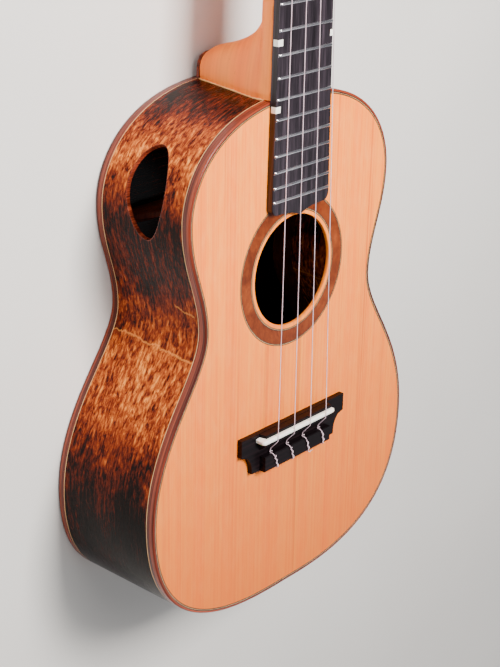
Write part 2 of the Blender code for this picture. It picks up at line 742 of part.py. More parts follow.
def gear_post():
    """A string post with its toothed wheel at the lower end, about local Z."""
    bm = bmesh.new()
    # toothed wheel
    ring = []
    for t in range(TEETH):
        c = 2 * math.pi * t / TEETH
        step = 2 * math.pi / TEETH
        for f, r in ((-0.36, GEAR_ROOT), (-0.20, GEAR_R), (-0.11, GEAR_TIP), (0.11, GEAR_TIP),
                     (0.20, GEAR_R), (0.36, GEAR_ROOT)):
            ring.append((r * math.cos(c + f * step), r * math.sin(c + f * step)))
    hi = [bm.verts.new((x, y, GEAR_W / 2)) for x, y in ring]
    lo = [bm.verts.new((x, y, -GEAR_W / 2)) for x, y in ring]
    bm.faces.new(hi)
    bm.faces.new(lo[::-1])
    for i in range(len(ring)):
        j = (i + 1) % len(ring)
        bm.faces.new((hi[i], hi[j], lo[j], lo[i]))
    return bm


def post_shape():
    """Turned post: profile about Z, waisted where the string winds."""
    top = -PLANE_W + POST_H
    prof = [(0.0, top), (POST_R - 0.7, top), (POST_R, top - 0.7), (POST_R, top - 1.8), (POST_R - 0.35, top - 2.6),
            (POST_R - 0.35, -PLANE_W + 1.5), (POST_R, -PLANE_W + 1.0), (POST_R, 0.5), (0.0, 0.5)]
    bm = bmesh.new()
    n = 14
    rows = [[bm.verts.new((r * math.cos(2 * math.pi * i / n), r * math.sin(2 * math.pi * i / n), z))
             for i in range(n)] for r, z in prof[1:-1]]
    for a, b in zip(rows, rows[1:]):
        for i in range(n):
            j = (i + 1) % n
            bm.faces.new((a[i], a[j], b[j], b[i]))
    bm.faces.new(rows[0])
    bm.faces.new(rows[-1][::-1])
    return bm


def worm_shape(n=12, turns=3):
    """Helical thread about local X, centred on X = 0, ends run out."""
    bm = bmesh.new()
    rows = []
    half = turns * n // 2
    for i in range(-half, half + 1):
        a = 2 * math.pi * i / n
        x = PITCH * i / n
        k = min(1.0, (half - abs(i)) / 3.0)
        tip = WORM_ROOT - 0.25 + (WORM_TIP - WORM_ROOT + 0.25) * k
        row = []
        for f, r in ((-0.37, WORM_ROOT - 0.45), (-0.12, tip), (0.12, tip), (0.37, WORM_ROOT - 0.45)):
            row.append(bm.verts.new((x + f * PITCH, r * math.cos(a), r * math.sin(a))))
        rows.append(row)
    for a, b in zip(rows, rows[1:]):
        for i in range(4):
            j = (i + 1) % 4
            bm.faces.new((a[i], a[j], b[j], b[i]))
    bm.faces.new(rows[0])
    bm.faces.new(rows[-1][::-1])
    return bm


def button_shape(x0):
    """Oval knob about local X, lofted from rounded sections."""
    bm = bmesh.new()
    n = 12
    rows = []
    for x, ry, rz in ((0, 2.0, 2.0), (1.6, 2.4, 2.2), (3.0, 6.2, 3.0), (5.5, 7.9, 3.6), (9.0, 8.3, 3.7),
                      (12.0, 7.6, 3.3), (14.0, 5.2, 2.3)):
        rows.append([bm.verts.new((x0 + x, ry * math.cos(2 * math.pi * i / n), rz * math.sin(2 * math.pi * i / n)))
                     for i in range(n)])
    for a, b in zip(rows, rows[1:]):
        for i in range(n):
            j = (i + 1) % n
            bm.faces.new((a[i], a[j], b[j], b[i]))
    bm.faces.new(rows[0])
    bm.faces.new(rows[-1][::-1])
    return bm


EAR = 5.6                 # half distance between the bearing ears
SHAFT_R = 1.15
KNOB_X = BUTTON_X - POST_X - 8.0

for side, tag in ((-1, "bass"), (1, "treble")):
    # base plate with four bearing ears
    x0, x1 = sorted((side * (POST_X - 9.0), side * (POST_X + 9.0)))
    top = -HEAD_T - GAP
    plate_bm = bmesh.new()
    bmesh.ops.create_cube(plate_bm, size=1)
    bmesh.ops.scale(plate_bm, vec=(x1 - x0, 74.0, 1.1), verts=plate_bm.verts)
    plate = add(f"tuner_plate_{tag}", plate_bm, CHROME, None, None)
    plate.matrix_local = place((x0 + x1) / 2, (POST_U[0] + POST_U[1]) / 2 - 2.0, top - 0.55)
    for k, u in enumerate(POST_U):
        uw = u - CENTRES
        for j, ex in enumerate((-EAR, EAR)):
            bm = bmesh.new()
            bmesh.ops.create_cube(bm, size=1)
            bmesh.ops.scale(bm, vec=(1.5, 4.6, 5.4), verts=bm.verts)
            e = hide_tool(add(f"ear_{tag}_{k}_{j}", bm, None, tools))
            e.matrix_local = place(side * POST_X + ex, uw, top - 0.6 - 2.7)
            boolean(plate, e, "UNION")
        bm = bmesh.new()
        rod(bm, SHAFT_R + GAP, -14, 14, 12, "X")
        t = hide_tool(add(f"shaft_hole_{tag}_{k}", bm, None, tools))
        t.matrix_local = place(side * POST_X, uw, PLANE_W)
        boolean(plate, t)
        bm = bmesh.new()
        rod(bm, POST_R + GAP + 0.05, -8, 8, 16)
        t = hide_tool(add(f"plate_post_hole_{tag}_{k}", bm, None, tools))
        t.matrix_local = place(side * POST_X, u, top)
        boolean(plate, t)
    for k, u in enumerate(POST_U):
        uw = u - CENTRES
        # post and wheel, origin on the post's axis; a tooth faces the worm
        wheel = add(f"tuner_post_{tag}_{k + 1}", gear_post(), BRASS, None,
                    place(side * POST_X, u, PLANE_W, -math.pi / 2))
        shaft = hide_tool(add(f"post_shape_{tag}_{k}", post_shape(), None, tools,
                              place(side * POST_X, u, PLANE_W, 0)))
        boolean(wheel, shaft, "UNION")
        # worm, shaft and knob turn together about the worm's axis
        m = place(side * POST_X, uw, PLANE_W, 0 if side > 0 else math.pi)
        phase = Matrix.Rotation(math.pi if side > 0 else 0.0, 4, "X")
        bm = bmesh.new()
        rod(bm, WORM_ROOT, -EAR + 1.15, EAR - 1.15, 12, "X")
        worm = add(f"tuner_knob_{tag}_{k + 1}", bm, CHROME, None, m @ phase)
        for nm, tool_bm in (("thread", worm_shape()), ("button", button_shape(KNOB_X))):
            t = hide_tool(add(f"{nm}_{tag}_{k}", tool_bm, None, tools, m @ phase))
            boolean(worm, t, "UNION")
        bm = bmesh.new()
        rod(bm, SHAFT_R, -EAR - 1.6, KNOB_X + 0.6, 12, "X")
        t = hide_tool(add(f"spindle_{tag}_{k}", bm, None, tools, m @ phase))
        boolean(worm, t, "UNION")

bpy.context.view_layer.update()
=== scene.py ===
import bpy, bmesh, math
import numpy as np
from mathutils import Matrix, Vector


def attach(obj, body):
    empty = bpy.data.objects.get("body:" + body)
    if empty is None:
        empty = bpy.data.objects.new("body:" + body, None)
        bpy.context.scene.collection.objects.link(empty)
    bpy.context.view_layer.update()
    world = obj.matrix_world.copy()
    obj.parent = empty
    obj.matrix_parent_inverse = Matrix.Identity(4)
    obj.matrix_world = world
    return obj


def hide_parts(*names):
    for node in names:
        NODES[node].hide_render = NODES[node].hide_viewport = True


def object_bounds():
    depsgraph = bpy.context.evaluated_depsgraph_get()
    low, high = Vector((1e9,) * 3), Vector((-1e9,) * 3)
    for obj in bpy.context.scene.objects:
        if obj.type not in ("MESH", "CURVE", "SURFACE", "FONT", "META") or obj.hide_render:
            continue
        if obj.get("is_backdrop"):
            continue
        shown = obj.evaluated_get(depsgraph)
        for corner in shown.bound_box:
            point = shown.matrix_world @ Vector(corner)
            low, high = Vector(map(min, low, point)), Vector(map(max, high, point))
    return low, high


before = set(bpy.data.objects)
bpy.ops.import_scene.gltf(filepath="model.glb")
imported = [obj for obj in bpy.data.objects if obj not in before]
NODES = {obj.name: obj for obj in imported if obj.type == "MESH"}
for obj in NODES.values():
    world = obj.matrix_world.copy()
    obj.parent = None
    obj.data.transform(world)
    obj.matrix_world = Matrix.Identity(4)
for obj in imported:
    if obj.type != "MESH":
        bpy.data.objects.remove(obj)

CAD_BOX = [list(map(float, c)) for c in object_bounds()]
MM = 0.001

# ------------------------------------------------------------------ frame --
# Instrument frame in mm: X across, Y up the neck from the saddle line, Z out
# of the soundboard (top face Z = 0).  ROOT takes it to the row frame.
GAP = 0.3
SCALE = 432.0
FRETS = 20
NUT_W, SADDLE_W = 37.0, 53.6
BOARD_TOP = 4.3
NUT_L = 4.7
HEAD_Y = SCALE + GAP + NUT_L + GAP
TILT = math.radians(12.0)
HEAD_L, HEAD_T = 128.0, 13.5
TOP_Y, TAIL_Y = 192.6, -112.05
UPPER_X, UPPER_Y = 84.95, 134.5
WAIST_X, WAIST_Y = 71.95, 72.1
LOWER_X, LOWER_Y = 112.75, -31.9
SHOULDER_PULL, UPPER_PULL = 65.2, 24.0
UPPER_DROP, WAIST_RISE = 25.1, 21.9
WAIST_DROP, LOWER_RISE = 25.1, 51.5
LOWER_DROP, TAIL_PULL = 83.9, 29.1
BACK0, SLOPE = -75.15, 0.04
BIND_W, BIND_H = 2.3, 5.2
HOLE_Y, HOLE_R = 91.05, 32.4
PHI = -math.atan(SLOPE)


def world_y(y, z):
    return y * math.cos(PHI) - z * math.sin(PHI)


LOW = world_y(TAIL_Y, BACK0 + SLOPE * TAIL_Y)
HIGH = world_y(HEAD_Y + HEAD_L * math.cos(TILT), -HEAD_L * math.sin(TILT))
ROOT = (Matrix.Translation((0, -(LOW + HIGH) / 2 * MM, -BACK0 * math.cos(PHI) * MM))
        @ Matrix.Rotation(PHI, 4, "X") @ Matrix.Scale(MM, 4))
HEAD = Matrix.Translation((0, HEAD_Y, 0)) @ Matrix.Rotation(-TILT, 4, "X")


def back_z(y):
    return BACK0 + SLOPE * y


# ------------------------------------------------------------- node graphs --
class G:
    """A small helper round one material's node tree."""

    def __init__(self, name):
        self.mat = bpy.data.materials.new(name)
        self.mat.use_nodes = True
        self.t = self.mat.node_tree
        self.b = self.t.nodes["Principled BSDF"]

    def n(self, kind, **kw):
        nd = self.t.nodes.new(kind)
        for k, v in kw.items():
            setattr(nd, k, v)
        return nd

    def link(self, a, b):
        self.t.links.new(a, b)

    def put(self, sock, v):
        if isinstance(v, bpy.types.NodeSocket):
            self.link(v, sock)
        else:
            sock.default_value = v

    def coord(self, scale=(1, 1, 1), rot=(0, 0, 0), loc=(0, 0, 0), uv=False):
        c = self.n("ShaderNodeTexCoord")
        m = self.n("ShaderNodeMapping")
        m.inputs["Scale"].default_value = scale
        m.inputs["Rotation"].default_value = rot
        m.inputs["Location"].default_value = loc
        self.link(c.outputs["UV" if uv else "Object"], m.inputs["Vector"])
        return m.outputs["Vector"]

    def noise(self, vec, scale=1.0, detail=4.0, rough=0.55, dist=0.0):
        x = self.n("ShaderNodeTexNoise")
        self.link(vec, x.inputs["Vector"])
        x.inputs["Scale"].default_value = scale
        x.inputs["Detail"].default_value = detail
        x.inputs["Roughness"].default_value = rough
        x.inputs["Distortion"].default_value = dist
        return x.outputs["Fac"]

    def voro(self, vec, scale=1.0, feature="F1", rnd=1.0):
        x = self.n("ShaderNodeTexVoronoi", feature=feature)
        self.link(vec, x.inputs["Vector"])
        x.inputs["Scale"].default_value = scale
        x.inputs["Randomness"].default_value = rnd
        return x

    def ramp(self, fac, stops, interp="LINEAR"):
        r = self.n("ShaderNodeValToRGB")
        r.color_ramp.interpolation = interp
        e = r.color_ramp.elements
        while len(e) < len(stops):
            e.new(0.5)
        for el, (p, c) in zip(e, stops):
            el.position = p
            el.color = (c, c, c, 1) if isinstance(c, (int, float)) else (*c, 1)
        self.put(r.inputs["Fac"], fac)
        return r.outputs["Color"]

    def math(self, op, a, b=0.0, c=0.0, clamp=False):
        m = self.n("ShaderNodeMath", operation=op, use_clamp=clamp)
        self.put(m.inputs[0], a)
        self.put(m.inputs[1], b)
        self.put(m.inputs[2], c)
        return m.outputs[0]

    def mix(self, fac, a, b, mode="MIX"):
        m = self.n("ShaderNodeMix", data_type="RGBA", blend_type=mode)
        self.put(m.inputs["Factor"], fac)
        for s, v in ((m.inputs[6], a), (m.inputs[7], b)):
            self.put(s, (*v, 1) if isinstance(v, tuple) and len(v) == 3 else v)
        return m.outputs[2]

    def sep(self, vec):
        s = self.n("ShaderNodeSeparateXYZ")
        self.link(vec, s.inputs[0])
        return s.outputs

    def bump(self, height, strength=0.2, dist=0.0005, normal=None):
        b = self.n("ShaderNodeBump")
        b.inputs["Strength"].default_value = strength
        b.inputs["Distance"].default_value = dist
        self.link(height, b.inputs["Height"])
        if normal is not None:
            self.link(normal, b.inputs["Normal"])
        return b.outputs["Normal"]

    def out(self, color, rough=0.4, normal=None, metal=0.0, spec=None, coat=None, coat_rough=None,
            trans=None, ior=None, sss=None):
        b = self.b
        self.put(b.inputs["Base Color"], (*color, 1) if isinstance(color, tuple) else color)
        self.put(b.inputs["Roughness"], rough)
        b.inputs["Metallic"].default_value = metal
        if normal is not None:
            self.link(normal, b.inputs["Normal"])
        for k, v in (("Specular IOR Level", spec), ("Coat Weight", coat), ("Coat Roughness", coat_rough),
                     ("Transmission Weight", trans), ("IOR", ior), ("Subsurface Weight", sss)):
            if v is not None:
                b.inputs[k].default_value = v
        return self.mat


RICH = 1.4


def lin(r, g, b):
    f = lambda v: v / 255 / 12.92 if v <= 10.31 else ((v / 255 + 0.055) / 1.055) ** 2.4
    c = (f(r), f(g), f(b))
    y = 0.2126 * c[0] + 0.7152 * c[1] + 0.0722 * c[2]
    return tuple(min(1.0, y * (v / y) ** RICH) if y else 0.0 for v in c)


def m_spruce():
    g = G("cedar_top_satin")
    # a slow wander of the grain lines, then close lines across X
    wander = g.noise(g.coord((14, 3, 8)), 1, 2, 0.5)
    v = g.coord((1, 1, 1))
    x, y, z = g.sep(v)
    xw = g.math("ADD", x, g.math("MULTIPLY", wander, 0.006))
    c = g.n("ShaderNodeCombineXYZ")
    g.link(g.math("MULTIPLY", xw, 820.0), c.inputs[0])
    g.link(g.math("MULTIPLY", y, 3.0), c.inputs[1])
    g.link(g.math("MULTIPLY", z, 30.0), c.inputs[2])
    lines = g.noise(c.outputs[0], 1, 3, 0.6)
    c2 = g.n("ShaderNodeCombineXYZ")
    g.link(g.math("MULTIPLY", xw, 110.0), c2.inputs[0])
    g.link(g.math("MULTIPLY", y, 1.2), c2.inputs[1])
    bands = g.noise(c2.outputs[0], 1, 3, 0.5)
    silk = g.noise(g.coord((260, 70, 200)), 1, 4, 0.6)
    base = g.ramp(bands, [(0.25, lin(236, 134, 46)), (0.5, lin(242, 145, 55)), (0.75, lin(247, 155, 65))])
    col = g.mix(g.ramp(lines, [(0.40, 0.0), (0.66, 0.42)]), base, lin(190, 96, 40))
    col = g.mix(g.ramp(silk, [(0.42, 0.0), (0.8, 0.22)]), col, lin(255, 190, 128))
    streak = g.noise(g.coord((230, 2.2, 20), loc=(3, 1, 0)), 1, 2, 0.5)
    col = g.mix(g.ramp(streak, [(0.62, 0.0), (0.74, 0.45)]), col, lin(150, 72, 30))
    # a deeper tone towards the tail: it stands in for light falling off there, it is not the wood itself
    col = g.mix(g.ramp(g.math("MULTIPLY", y, -3.0), [(0.36, 0.0), (0.66, 0.30), (1.0, 0.62)]), col, lin(158, 88, 36))
    h = g.math("ADD", g.math("MULTIPLY", lines, 0.7), g.math("MULTIPLY", silk, 0.3))
    return g.out(col, g.ramp(silk, [(0.2, 0.42), (0.8, 0.55)]), g.bump(h, 0.08, 0.0002), spec=0.2)


def m_figured(name, uv=True):
    """Mottled side wood; its darkest zone is partly painted shade.  UV is arc length from the heel and height, in
    metres.
    """
    g = G(name)
    if uv:
        raw = g.coord((1, 1, 1), uv=True)
    else:
        raw = g.coord((1, 1, 1), rot=(0, 0, math.pi / 2), loc=(0.24, 0.05, 0))
    s, t, _ = g.sep(raw)
    warp = g.noise(g.coord((11, 16, 1), uv=uv), 1, 3, 0.6)
    sw = g.math("ADD", s, g.math("MULTIPLY", g.math("SUBTRACT", warp, 0.5), 0.05))
    # light and dark zones along the arc: mostly the wood's own figure, but the darkest stretch, past about 260 mm from
    # the heel, is partly painted shade
    figure_and_shade_zone = g.ramp(g.math("MULTIPLY", sw, 1 / 0.45), [
        (0.00, 0.17), (0.09, 0.16), (0.115, 0.26), (0.145, 0.50), (0.19, 0.64), (0.235, 0.40), (0.275, 0.17), (0.34, 0.13),
        (0.395, 0.42), (0.46, 0.60), (0.54, 0.56), (0.59, 0.28), (0.65, 0.10), (0.74, 0.0), (1.0, 0.0)])
    # bright flecks a few mm long that lean across the grain, and long dark streaks
    fleck = g.noise(g.coord((210, 560, 1), uv=uv, rot=(0, 0, 0.55)), 1, 5, 0.7, 0.5)
    curl = g.noise(g.coord((95, 240, 1), uv=uv, rot=(0, 0, 0.4)), 1, 4, 0.62, 0.8)
    streak = g.noise(g.coord((34, 620, 1), uv=uv, rot=(0, 0, 0.10)), 1, 5, 0.65, 0.3)
    fibre = g.noise(g.coord((120, 2600, 1), uv=uv, rot=(0, 0, 0.06)), 1, 3, 0.6)
    cloud = g.noise(g.coord((20, 42, 1), uv=uv, loc=(5, 2, 0), rot=(0, 0, 0.2)), 1, 3, 0.55, 0.4)
    c = lambda n, k: g.math("MULTIPLY", g.math("SUBTRACT", n, 0.5), k)
    lively = g.math("ADD", g.math("MULTIPLY", figure_and_shade_zone, 1.2), 0.24)
    q = g.math("MULTIPLY", g.math("ADD", c(fleck, 2.1), c(curl, 1.3)), lively)
    calm = g.math("SUBTRACT", 1.0, figure_and_shade_zone)
    q = g.math("ADD", q, g.math("MULTIPLY", c(streak, 0.9), calm))
    q = g.math("ADD", q, c(cloud, 0.55))
    q = g.math("ADD", q, c(fibre, 0.20))
    q = g.math("ADD", q, figure_and_shade_zone, clamp=True)
    col = g.ramp(q, [(0.0, lin(9, 5, 4)), (0.14, lin(27, 13, 9)), (0.30, lin(70, 29, 16)), (0.46, lin(108, 52, 26)),
                     (0.62, lin(150, 86, 41)), (0.80, lin(192, 124, 62)), (1.0, lin(228, 166, 88))])
    if uv:
        # two pale growth lines that cross the rib near the waist
        for s0, k, w, hi, t0, t1 in ((0.1965, 0.068, 0.0004, 0.45, -0.075, 0.0), (0.1726, 0.25, 0.0004, 0.4, -0.0215, -0.0075)):
            d = g.math("SUBTRACT", s, g.math("ADD", g.math("MULTIPLY", t, k), s0))
            d = g.math("ABSOLUTE", g.math("ADD", d, c(curl, 0.006)))
            line = g.ramp(g.math("DIVIDE", d, w * 2), [(0.35, 1.0), (0.9, 0.0)])
            inside = g.math("MULTIPLY", g.math("GREATER_THAN", t, t0), g.math("LESS_THAN", t, t1))
            col = g.mix(g.math("MULTIPLY", g.math("MULTIPLY", line, hi), inside), col, lin(236, 168, 96))
    rough = g.ramp(fibre, [(0.2, 0.2), (0.8, 0.32)])
    return g.out(col, rough, g.bump(g.math("ADD", g.math("MULTIPLY", fibre, 0.4), curl), 0.04, 0.0003), spec=0.07)


def m_rosewood(name, uv=True, dark=0.0):
    g = G(name)
    a = g.noise(g.coord((14, 1500, 1500), uv=uv), 1, 4, 0.6, 0.3)
    b = g.noise(g.coord((7, 520, 520), uv=uv, loc=(1, 3, 0)), 1, 3, 0.5)
    f = g.noise(g.coord((90, 2600, 2600), uv=uv), 1, 2, 0.5)
    q = g.math("ADD", g.math("MULTIPLY", a, 0.5), g.math("MULTIPLY", b, 0.5))
    col = g.ramp(q, [(0.34, lin(34, 15, 11)), (0.46, lin(74, 34, 23)), (0.56, lin(116, 60, 42)), (0.70, lin(156, 90, 64))])
    col = g.mix(g.ramp(f, [(0.55, 0.0), (0.75, 0.5)]), col, lin(44, 18, 12))
    return g.out(col, 0.24, g.bump(a, 0.03, 0.0002), spec=0.3)


def m_neck():
    g = G("neck_cedar")
    warp = g.noise(g.coord((12, 5, 12)), 1, 2, 0.5)
    x, y, z = g.sep(g.coord())
    # flat sawn laminations: grain runs along the neck and swings in the heel
    u = g.math("ADD", g.math("ADD", z, g.math("MULTIPLY", x, 0.35)), g.math("MULTIPLY", warp, 0.010))
    c = g.n("ShaderNodeCombineXYZ")
    g.link(g.math("MULTIPLY", u, 420.0), c.inputs[0])
    g.link(g.math("MULTIPLY", y, 9.0), c.inputs[1])
    g.link(g.math("MULTIPLY", x, 60.0), c.inputs[2])
    rings = g.noise(c.outputs[0], 1, 3, 0.55)
    c2 = g.n("ShaderNodeCombineXYZ")
    g.link(g.math("MULTIPLY", u, 60.0), c2.inputs[0])
    g.link(g.math("MULTIPLY", y, 2.0), c2.inputs[1])
    wide = g.noise(c2.outputs[0], 1, 2, 0.5)
    base = g.ramp(wide, [(0.3, lin(228, 128, 58)), (0.5, lin(238, 142, 68)), (0.7, lin(246, 156, 80))])
    col = g.mix(g.ramp(rings, [(0.42, 0.0), (0.72, 0.55)]), base, lin(196, 108, 62))
    # short dark pores
    p = g.noise(g.coord((900, 160, 900)), 1, 2, 0.5)
    col = g.mix(g.ramp(p, [(0.70, 0.0), (0.78, 0.55)]), col, lin(140, 68, 36))
    return g.out(col, 0.42, g.bump(g.math("ADD", rings, g.math("MULTIPLY", p, -0.6)), 0.06, 0.0003), spec=0.22)


def m_ebony(name, sheen=0.36, lift=1.0):
    g = G(name)
    a = g.noise(g.coord((420, 3.5, 420)), 1, 4, 0.6)
    b = g.noise(g.coord((1400, 14, 1400)), 1, 2, 0.5)
    cr = [(0.30, lin(12, 10, 12)), (0.5, lin(30, 26, 30)), (0.7, lin(62, 55, 61))]
    col = g.ramp(g.math("ADD", g.math("MULTIPLY", a, 0.65), g.math("MULTIPLY", b, 0.35)), cr)
    return g.out(col, g.ramp(a, [(0.3, sheen - 0.06), (0.7, sheen + 0.1)]),
                 g.bump(b, 0.10, 0.0002), spec=0.3)


def m_bridge_ebony():
    g = G("bridge_ebony")
    a = g.noise(g.coord((9, 700, 700)), 1, 4, 0.6)
    col = g.ramp(a, [(0.3, lin(6, 4, 5)), (0.55, lin(14, 10, 12)), (0.75, lin(30, 22, 24))])
    return g.out(col, g.ramp(a, [(0.3, 0.34), (0.7, 0.5)]), g.bump(a, 0.08, 0.0002), spec=0.08)


def m_bone():
    g = G("bone")
    a = g.noise(g.coord((60, 400, 400)), 1, 3, 0.6)
    f = g.noise(g.coord((1500, 1500, 1500)), 1, 2, 0.5)
    col = g.ramp(a, [(0.3, lin(244, 240, 230)), (0.7, lin(255, 253, 247))])
    return g.out(col, 0.28, g.bump(f, 0.04, 0.0001), spec=0.5, sss=0.08)


def m_metal(name, c0, c1, rough, brushed=(900, 30, 900)):
    g = G(name)
    a = g.noise(g.coord(brushed), 1, 3, 0.6)
    col = g.ramp(a, [(0.3, c0), (0.7, c1)])
    return g.out(col, g.ramp(a, [(0.3, rough * 0.8), (0.7, rough * 1.35)]), g.bump(a, 0.05, 0.0001), metal=1.0)


def m_nylon():
    g = G("nylon_string")
    a = g.noise(g.coord((2000, 60, 2000)), 1, 2, 0.5)
    col = g.ramp(a, [(0.3, lin(186, 166, 172)), (0.7, lin(214, 198, 206))])
    return g.out(col, 0.2, g.bump(a, 0.03, 0.0001), spec=0.6)


def m_rosette():
    g = G("rosette_burl")
    v = g.coord((1, 1, 1))
    n1 = g.noise(g.coord((60, 60, 60)), 1, 4, 0.6, 0.8)
    n2 = g.noise(g.coord((260, 150, 260)), 1, 5, 0.65, 1.2)
    n3 = g.noise(g.coord((1400, 500, 900)), 1, 3, 0.6)
    q = g.math("ADD", g.math("ADD", g.math("MULTIPLY", n1, 0.45), g.math("MULTIPLY", n2, 0.4)), g.math("MULTIPLY", n3, 0.15))
    col = g.ramp(q, [(0.32, lin(52, 25, 11)), (0.45, lin(82, 42, 19)), (0.56, lin(102, 56, 27)), (0.7, lin(132, 78, 42))])
    eyes = g.voro(g.coord((120, 120, 120), loc=(3, 1, 2)), 1)
    col = g.mix(g.ramp(eyes.outputs["Distance"], [(0.05, 0.75), (0.16, 0.0)]), col, lin(84, 34, 18))
    return g.out(col, 0.3, g.bump(n3, 0.05, 0.0002), spec=0.22)


def m_lining():
    g = G("lining_wood")
    a = g.noise(g.coord((60, 60, 700)), 1, 4, 0.6)
    b = g.noise(g.coord((700, 40, 700)), 1, 3, 0.6)
    col = g.ramp(g.math("MULTIPLY", g.math("ADD", a, b), 0.5), [(0.35, lin(58, 28, 18)), (0.5, lin(82, 42, 27)), (0.68, lin(108, 60, 40))])
    return g.out(col, 0.62, g.bump(a, 0.15, 0.0003), spec=0.3)


def m_line(name, c0, c1, rough=0.4):
    g = G(name)
    a = g.noise(g.coord((30, 900, 900), uv=True), 1, 3, 0.6)
    return g.out(g.ramp(a, [(0.35, c0), (0.65, c1)]), rough, spec=0.4)


def m_pearl():
    g = G("pearl_button")
    a = g.noise(g.coord((160, 260, 160)), 1, 4, 0.6, 2.0)
    b = g.noise(g.coord((60, 90, 300)), 1, 3, 0.6, 1.5)
    col = g.ramp(a, [(0.3, lin(206, 200, 190)), (0.5, lin(236, 232, 224)), (0.7, lin(250, 248, 244))])
    col = g.mix(g.ramp(b, [(0.5, 0.0), (0.75, 0.35)]), col, lin(196, 206, 208))
    return g.out(col, 0.16, g.bump(a, 0.02, 0.0001), spec=0.6, coat=0.6, coat_rough=0.05)


def m_floor():
    g = G("studio_floor")
    a = g.noise(g.coord((3, 3, 3)), 1, 3, 0.5)
    f = g.noise(g.coord((700, 700, 700)), 1, 2, 0.5)
    col = g.ramp(a, [(0.3, lin(216, 214, 211)), (0.7, lin(226, 224, 221))])
    return g.out(col, 0.85, g.bump(f, 0.03, 0.0002), spec=0.15)


M = {
    "top": m_spruce(),
    "rib": m_figured("figured_rib"),
    "back": m_figured("figured_back", uv=False),
    "bind": m_rosewood("rosewood_binding"),
    "cap": m_rosewood("rosewood_cap", uv=False),
    "neck": m_neck(),
    "board": m_ebony("fretboard_ebony", 0.34, 1.25),
    "bridge": m_bridge_ebony(),
    "bone": m_bone(),
    "fret": m_metal("fret_nickel", lin(206, 204, 208), lin(236, 234, 236), 0.22, (60, 900, 900)),
    "steel": m_metal("tuner_steel", lin(196, 196, 200), lin(226, 226, 230), 0.2),
    "brass": m_metal("gear_brass", lin(196, 156, 84), lin(226, 188, 112), 0.26, (900, 900, 60)),
    "nylon": m_nylon(),
    "rosette": m_rosette(),
    "lining": m_lining(),
    "white_line": m_line("maple_line", lin(214, 176, 126), lin(234, 200, 152)),
    "black_line": m_line("black_line", lin(26, 20, 20), lin(44, 34, 32)),
    "pearl": m_pearl(),
    "marker": m_bone(),
}
M["marker"].name = "bone_marker"

COL = bpy.context.scene.collection


def finish_mesh(name, me, mat, smooth=35, world=ROOT, replaces=(), body="instrument", ride=True):
    me.transform(world)
    ob = bpy.data.objects.new(name, me)
    COL.objects.link(ob)
    me.materials.append(mat)
    me.shade_smooth()
    if smooth is not None:
        me.set_sharp_from_angle(angle=math.radians(smooth))
    if ride:
        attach(ob, body)
        if replaces:
            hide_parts(*replaces)
    return ob


def mesh_from(name, verts, faces, uvs=None):
    me = bpy.data.meshes.new(name)
    me.from_pydata([tuple(v) for v in verts], [], faces)
    if uvs is not None:
        lay = me.uv_layers.new(name="UVMap")
        for p in me.polygons:
            for li in p.loop_indices:
                lay.data[li].uv = uvs[me.loops[li].vertex_index]
    me.validate()
    bm = bmesh.new()
    bm.from_mesh(me)
    bmesh.ops.recalc_face_normals(bm, faces=bm.faces)
    bm.to_mesh(me)
    bm.free()
    return me


# ---------------------------------------------------------------- outline --
def bez(a, b, c, d, n):
    t = np.linspace(0, 1, n, endpoint=False)[:, None]
    a, b, c, d = (np.array(p, float) for p in (a, b, c, d))
    return (1 - t) ** 3 * a + 3 * (1 - t) ** 2 * t * b + 3 * (1 - t) * t * t * c + t ** 3 * d


def half_outline(q=44):
    n0 = (0, TOP_Y), (SHOULDER_PULL, TOP_Y), (UPPER_X, UPPER_Y + UPPER_PULL), (UPPER_X, UPPER_Y)
    n1 = n0[3], (UPPER_X, UPPER_Y - UPPER_DROP), (WAIST_X, WAIST_Y + WAIST_RISE), (WAIST_X, WAIST_Y)
    n2 = n1[3], (WAIST_X, WAIST_Y - WAIST_DROP), (LOWER_X, LOWER_Y + LOWER_RISE), (LOWER_X, LOWER_Y)
    n3 = n2[3], (LOWER_X, LOWER_Y - LOWER_DROP), (TAIL_PULL, TAIL_Y), (0, TAIL_Y)
    return np.vstack([bez(*n0, q), bez(*n1, q * 2 // 3), bez(*n2, q), bez(*n3, q * 4 // 3), [[0, TAIL_Y]]])


HALF = half_outline()
RING = np.vstack([HALF, HALF[-2:0:-1] * [-1, 1]])          # clockwise from the heel
_d = np.roll(RING, -1, 0) - np.roll(RING, 1, 0)
_d /= np.linalg.norm(_d, axis=1)[:, None]
NRM = np.stack([_d[:, 1], -_d[:, 0]], 1)                   # inward
_s = np.concatenate([[0], np.cumsum(np.linalg.norm(np.diff(HALF, axis=0), axis=1))])
ARC = np.concatenate([_s, _s[-2:0:-1]])                    # arc length from the heel, both ways
HALF_LEN = _s[-1]


def at(d):
    return RING + NRM * d


def sweep_ring(name, prof, mat, zbase=None, replaces=(), smooth=40):
    """A closed profile [(inset, z), ...] carried round the whole outline.

    zbase(y) is added to z.  UV: arc length, distance round the profile."""
    n, k = len(RING), len(prof)
    lens = [0]
    for a, b in zip(prof, prof[1:] + prof[:1]):
        lens.append(lens[-1] + math.dist(a, b))
    verts, uvs = [], []
    for j, (d, z) in enumerate(prof):
        P = at(d)
        for i in range(n):
            zz = z + (zbase(P[i, 1]) if zbase else 0)
            verts.append((P[i, 0], P[i, 1], zz))
            uvs.append((ARC[i] * MM, lens[j] * MM))
    faces = []
    for j in range(k):
        jn = (j + 1) % k
        for i in range(n):
            m = (i + 1) % n
            faces.append((j * n + i, j * n + m, jn * n + m, jn * n + i))
    return finish_mesh(name, mesh_from(name, verts, faces, uvs), mat, smooth, replaces=replaces)


